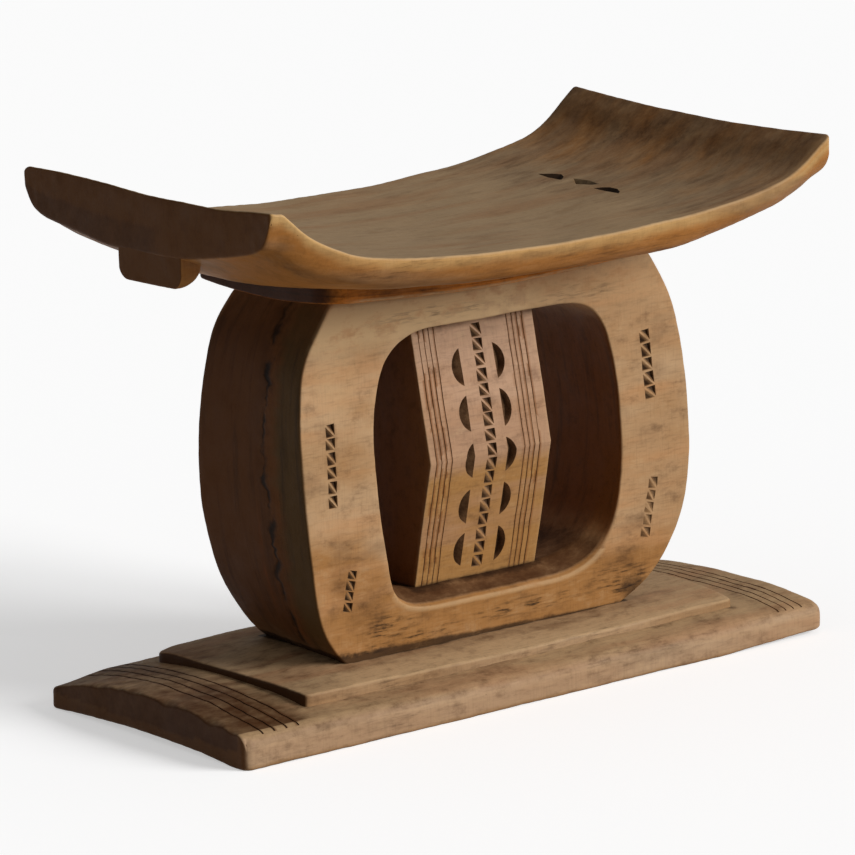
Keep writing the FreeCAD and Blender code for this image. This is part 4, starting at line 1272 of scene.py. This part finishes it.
# %% Ring and post
RING_SHADES = (((-118, -56, 76), (34, 9, 40)), ((-140, -56, 110), (24, 9, 50)),
               ((130, -56, 70), (40, 9, 26)))
FOOT_STAINS = (((-98, -56, 60), (34, 8, 14)), ((-60, -56, 50), (40, 8, 8)),
               ((-118, -56, 47), (30, 8, 6)), ((40, -56, 54), (80, 8, 8)), ((128, -56, 56), (40, 8, 20)))
HEAD_STAINS = (((-50, -56, 288), (80, 8, 9)), ((90, -56, 283), (50, 8, 12)))

tree_of_points = kdtree.KDTree(len(ring_points))
for index, point in enumerate(ring_points):
    tree_of_points.insert(point, index)
tree_of_points.balance()
edge = ring_edge[[tree_of_points.find(point)[1] for point in carved_ring_points]]
x, y, z = carved_ring_points.T
front = np.abs(y) > RING_HALF_DEPTH - 3
head = front * smoothstep(262, 282, z)
lip = (z < FLOOR + 4) * (z > FLOOR - 16) * (np.abs(x) < 120)
floor_area = smoothstep(FLOOR + 26, FLOOR + 4, z) * (z > FLOOR - 14) * ~front * (np.abs(x) < 132)
finish_piece("carved_ring", "ring", "ring", carved_ring_points, ring_faces, {
    # Pale wear on the edges, a painted highlight along the opening's lip, and painted light on the head and
    # high on the front's left, where the seat would shade the ring.
    "wear": strongest((1 - smoothstep(0.2, 1.6, edge)) * np.where(lip, 0.4, 0.06),
                      0.85 * head * smoothstep(80, -20, x) + 0.4 * head * (x > 0),
                      0.35 * front * spot(carved_ring_points, (-142, -56, 262), (30, 9, 50))),
    "grime": strongest(0.95 * smoothstep(48.5, 45, z + 0.028 * (x + 140)),
                       0.5 * smoothstep(305, 308, z),
                       0.7 * spot(carved_ring_points, (138, -56, 50), (20, 10, 15)),
                       0.8 * floor_area * near_box(carved_ring_points, 60, 38, 9),
                       0.35 * floor_area * smoothstep(-44, -10, y)),
    "warm": strongest(front * 0.8 * smoothstep(120, 62, z - 45 * smoothstep(-80, -125, x)), 0.25),
    "shade": strongest(0.8 * floor_area, front * 0.35 * spots(carved_ring_points, RING_SHADES),
                       front * 0.12 * spot(carved_ring_points, (178, -56, 270), (20, 9, 40))),
    "stain": (0.9 * spots(carved_ring_points, FOOT_STAINS)
              + 0.5 * spots(carved_ring_points, HEAD_STAINS)),
    "soot": 0.95 * smoothstep(0.1, 1.4, ring_deep)}, 21, 0.3, slots=ring_cut)
x, y, z = post_points.T
reach = np.abs(x)
finish_piece("carved_post", "column", "post", post_points, post_faces, {
    "wear": 0.25 * (1 - smoothstep(0.3, 1.8, edge_distance(post_blank, POST_HALF))),
    "grime": 0.9 * smoothstep(83, 79, z),
    "warm": 0.95 * smoothstep(CREASE + 4, CREASE - 22, z),
    "shade": 0.3 * smoothstep(262, 276, z),
    "soot": np.where(reach < 9, 0.9 * smoothstep(0.1, 1.4, post_deep), np.where(
        reach < 28, 0.3 + 0.35 * smoothstep(1, 5, post_deep), 0.25))}, 31, 0.2, slots=post_cut)
print("made:", ", ".join(pieces))

# %% [markdown]
# The boards hold dirt round the foot of what stands on them, darken towards the left end and
# carry brown spots on their front edges. The left grooves are full of soot, the right ones
# nearly clean.

# %% Plinth and slab
PLINTH_STAINS = (((60, -95, 32), (90, 8, 8)), ((-120, -95, 30), (60, 8, 8)))
SLAB_STAINS = (((90, -120, 18), (90, 12, 12)), ((-140, -121, 12), (50, 12, 9)))

x, y, z = plinth_points.T
edge = edge_distance(plinth_blank, PLINTH_HALF)
finish_piece("carved_plinth", "plinth", "plinth", plinth_points, plinth_faces, {
    "wear": 0.3 * (1 - smoothstep(0.3, 2.4, edge)) * (z > 28) * (np.abs(x) < 204),
    "grime": strongest(near_box(plinth_points, 133, 56, 4) * (z > 30), 0.5 * smoothstep(27, 23, z)),
    "shade": strongest(0.35 * smoothstep(-120, -200, x),
                       0.42 * near_box(plinth_points, 140, 62, 30)) * (z > 30),
    "stain": 0.3 * spots(plinth_points, PLINTH_STAINS)}, 51, 0.35)
x, y, z = slab_points.T
edge = edge_distance(slab_blank, SLAB_HALF)
left_dark = (0.6 + 0.2 * smoothstep(40, -60, y)) * smoothstep(-190, -235, x)
finish_piece("carved_slab", "base_slab", "slab", slab_points, slab_faces, {
    "wear": 0.15 * (1 - smoothstep(0.3, 2.6, edge)) * (z > 12) * (np.abs(x) < 272),
    "grime": 0.35 * near_box(slab_points, 207, 95, 6) * (z > 14),
    "warm": 0.7 * smoothstep(6, 0, z),
    "shade": strongest(left_dark * (z > 12) * (y > -112),
                       np.where(z > 17, 0.20 + 0.12 * smoothstep(0, -120, x), 0.04),
                       0.4 * spot(slab_points, (100, -120, 16), (80, 14, 13))),
    "stain": 0.25 * spots(slab_points, SLAB_STAINS),
    "soot": np.where(x < 0, 0.9, 0.12)}, 61, 0.4, slots=slab_cut)
print("made:", ", ".join(pieces))

# %% [markdown]
# ## Studio
# The photograph has a white ground and one soft light from the front right. The end that turns
# to the camera's left is lit by the room alone, which is why it looks so dark.

# %% Lay the floor
FLOOR_REACH = 12.0
SEEN_GREY, DULL_GREY, FLOOR_GLOW = 0.86, 0.42, 0.45


def pale_floor():
    """White to the camera and in reflections, and duller as a source of light for the stool."""
    made = bpy.data.materials.new("pale floor")
    made.use_nodes = True
    tree = made.node_tree
    tree.nodes.clear()
    path = add(tree, "ShaderNodeLightPath")
    seen = calc(tree, "MAXIMUM", calc(tree, "MAXIMUM", path.outputs["Is Camera Ray"],
                                      path.outputs["Is Glossy Ray"]), path.outputs["Is Transmission Ray"])
    pale = add(tree, "ShaderNodeBsdfDiffuse", {0: (SEEN_GREY,) * 3 + (1,)})
    dull = add(tree, "ShaderNodeBsdfDiffuse", {0: (DULL_GREY,) * 3 + (1,)})
    glow = add(tree, "ShaderNodeEmission", {0: (1, 1, 1, 1), 1: FLOOR_GLOW})
    bright = add(tree, "ShaderNodeAddShader", {0: pale.outputs[0], 1: glow.outputs[0]})
    both = add(tree, "ShaderNodeMixShader", {0: seen, 1: dull.outputs[0], 2: bright.outputs[0]})
    out = add(tree, "ShaderNodeOutputMaterial")
    tree.links.new(both.outputs[0], out.inputs[0])
    return made


corners = [(across * FLOOR_REACH, along * FLOOR_REACH, 0)
           for across, along in ((-1, -1), (1, -1), (1, 1), (-1, 1))]
floor_mesh = bpy.data.meshes.new("floor")
floor_mesh.from_pydata(corners, [], [(0, 1, 2, 3)])
floor_mesh.materials.append(pale_floor())
floor = new_object("floor", floor_mesh)
print("floor:", round(2 * FLOOR_REACH), "m wide")

# %% [markdown]
# The lamp is a wide sun, because a photographer's soft light stands far off and is large, so
# shadows are soft and fall alike everywhere. The room is a weak white glow from all sides, which
# the camera sees as plain white.

# %% Set the lamp and the room's light
ROOM_LIGHT = 0.22
world = bpy.data.worlds.new("room")
world.use_nodes = True
tree = world.node_tree
tree.nodes.clear()
path = add(tree, "ShaderNodeLightPath")
strength = add(tree, "ShaderNodeMix", {0: path.outputs["Is Camera Ray"], 2: ROOM_LIGHT, 3: 1.0},
               data_type="FLOAT")
room = add(tree, "ShaderNodeBackground", {0: (1, 1, 1, 1), 1: strength.outputs[0]})
out = add(tree, "ShaderNodeOutputWorld")
tree.links.new(room.outputs[0], out.inputs[0])
bpy.context.scene.world = world

LAMP_TURN, LAMP_HEIGHT, LAMP_SPREAD = (math.radians(angle) for angle in (35, 24, 32))
LAMP_STRENGTH, LAMP_DISTANCE = 2.9, 3
way = Vector((math.sin(LAMP_TURN) * math.cos(LAMP_HEIGHT),
              -math.cos(LAMP_TURN) * math.cos(LAMP_HEIGHT), math.sin(LAMP_HEIGHT)))
lamp = new_object("soft lamp", bpy.data.lights.new("soft lamp", "SUN"))
lamp.data.energy, lamp.data.angle = LAMP_STRENGTH, LAMP_SPREAD
lamp.location = way * LAMP_DISTANCE
lamp.rotation_euler = way.to_track_quat("Z", "Y").to_euler()
bpy.context.scene.view_settings.view_transform = "Standard"
print("lamp at", [round(value, 2) for value in lamp.location])

# %% [markdown]
# ## Hand over
# Each carved piece takes the place of one part of the measured model.

# %% Hand over the pieces
for piece, node in pieces.values():
    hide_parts(node)
    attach(piece, "root")
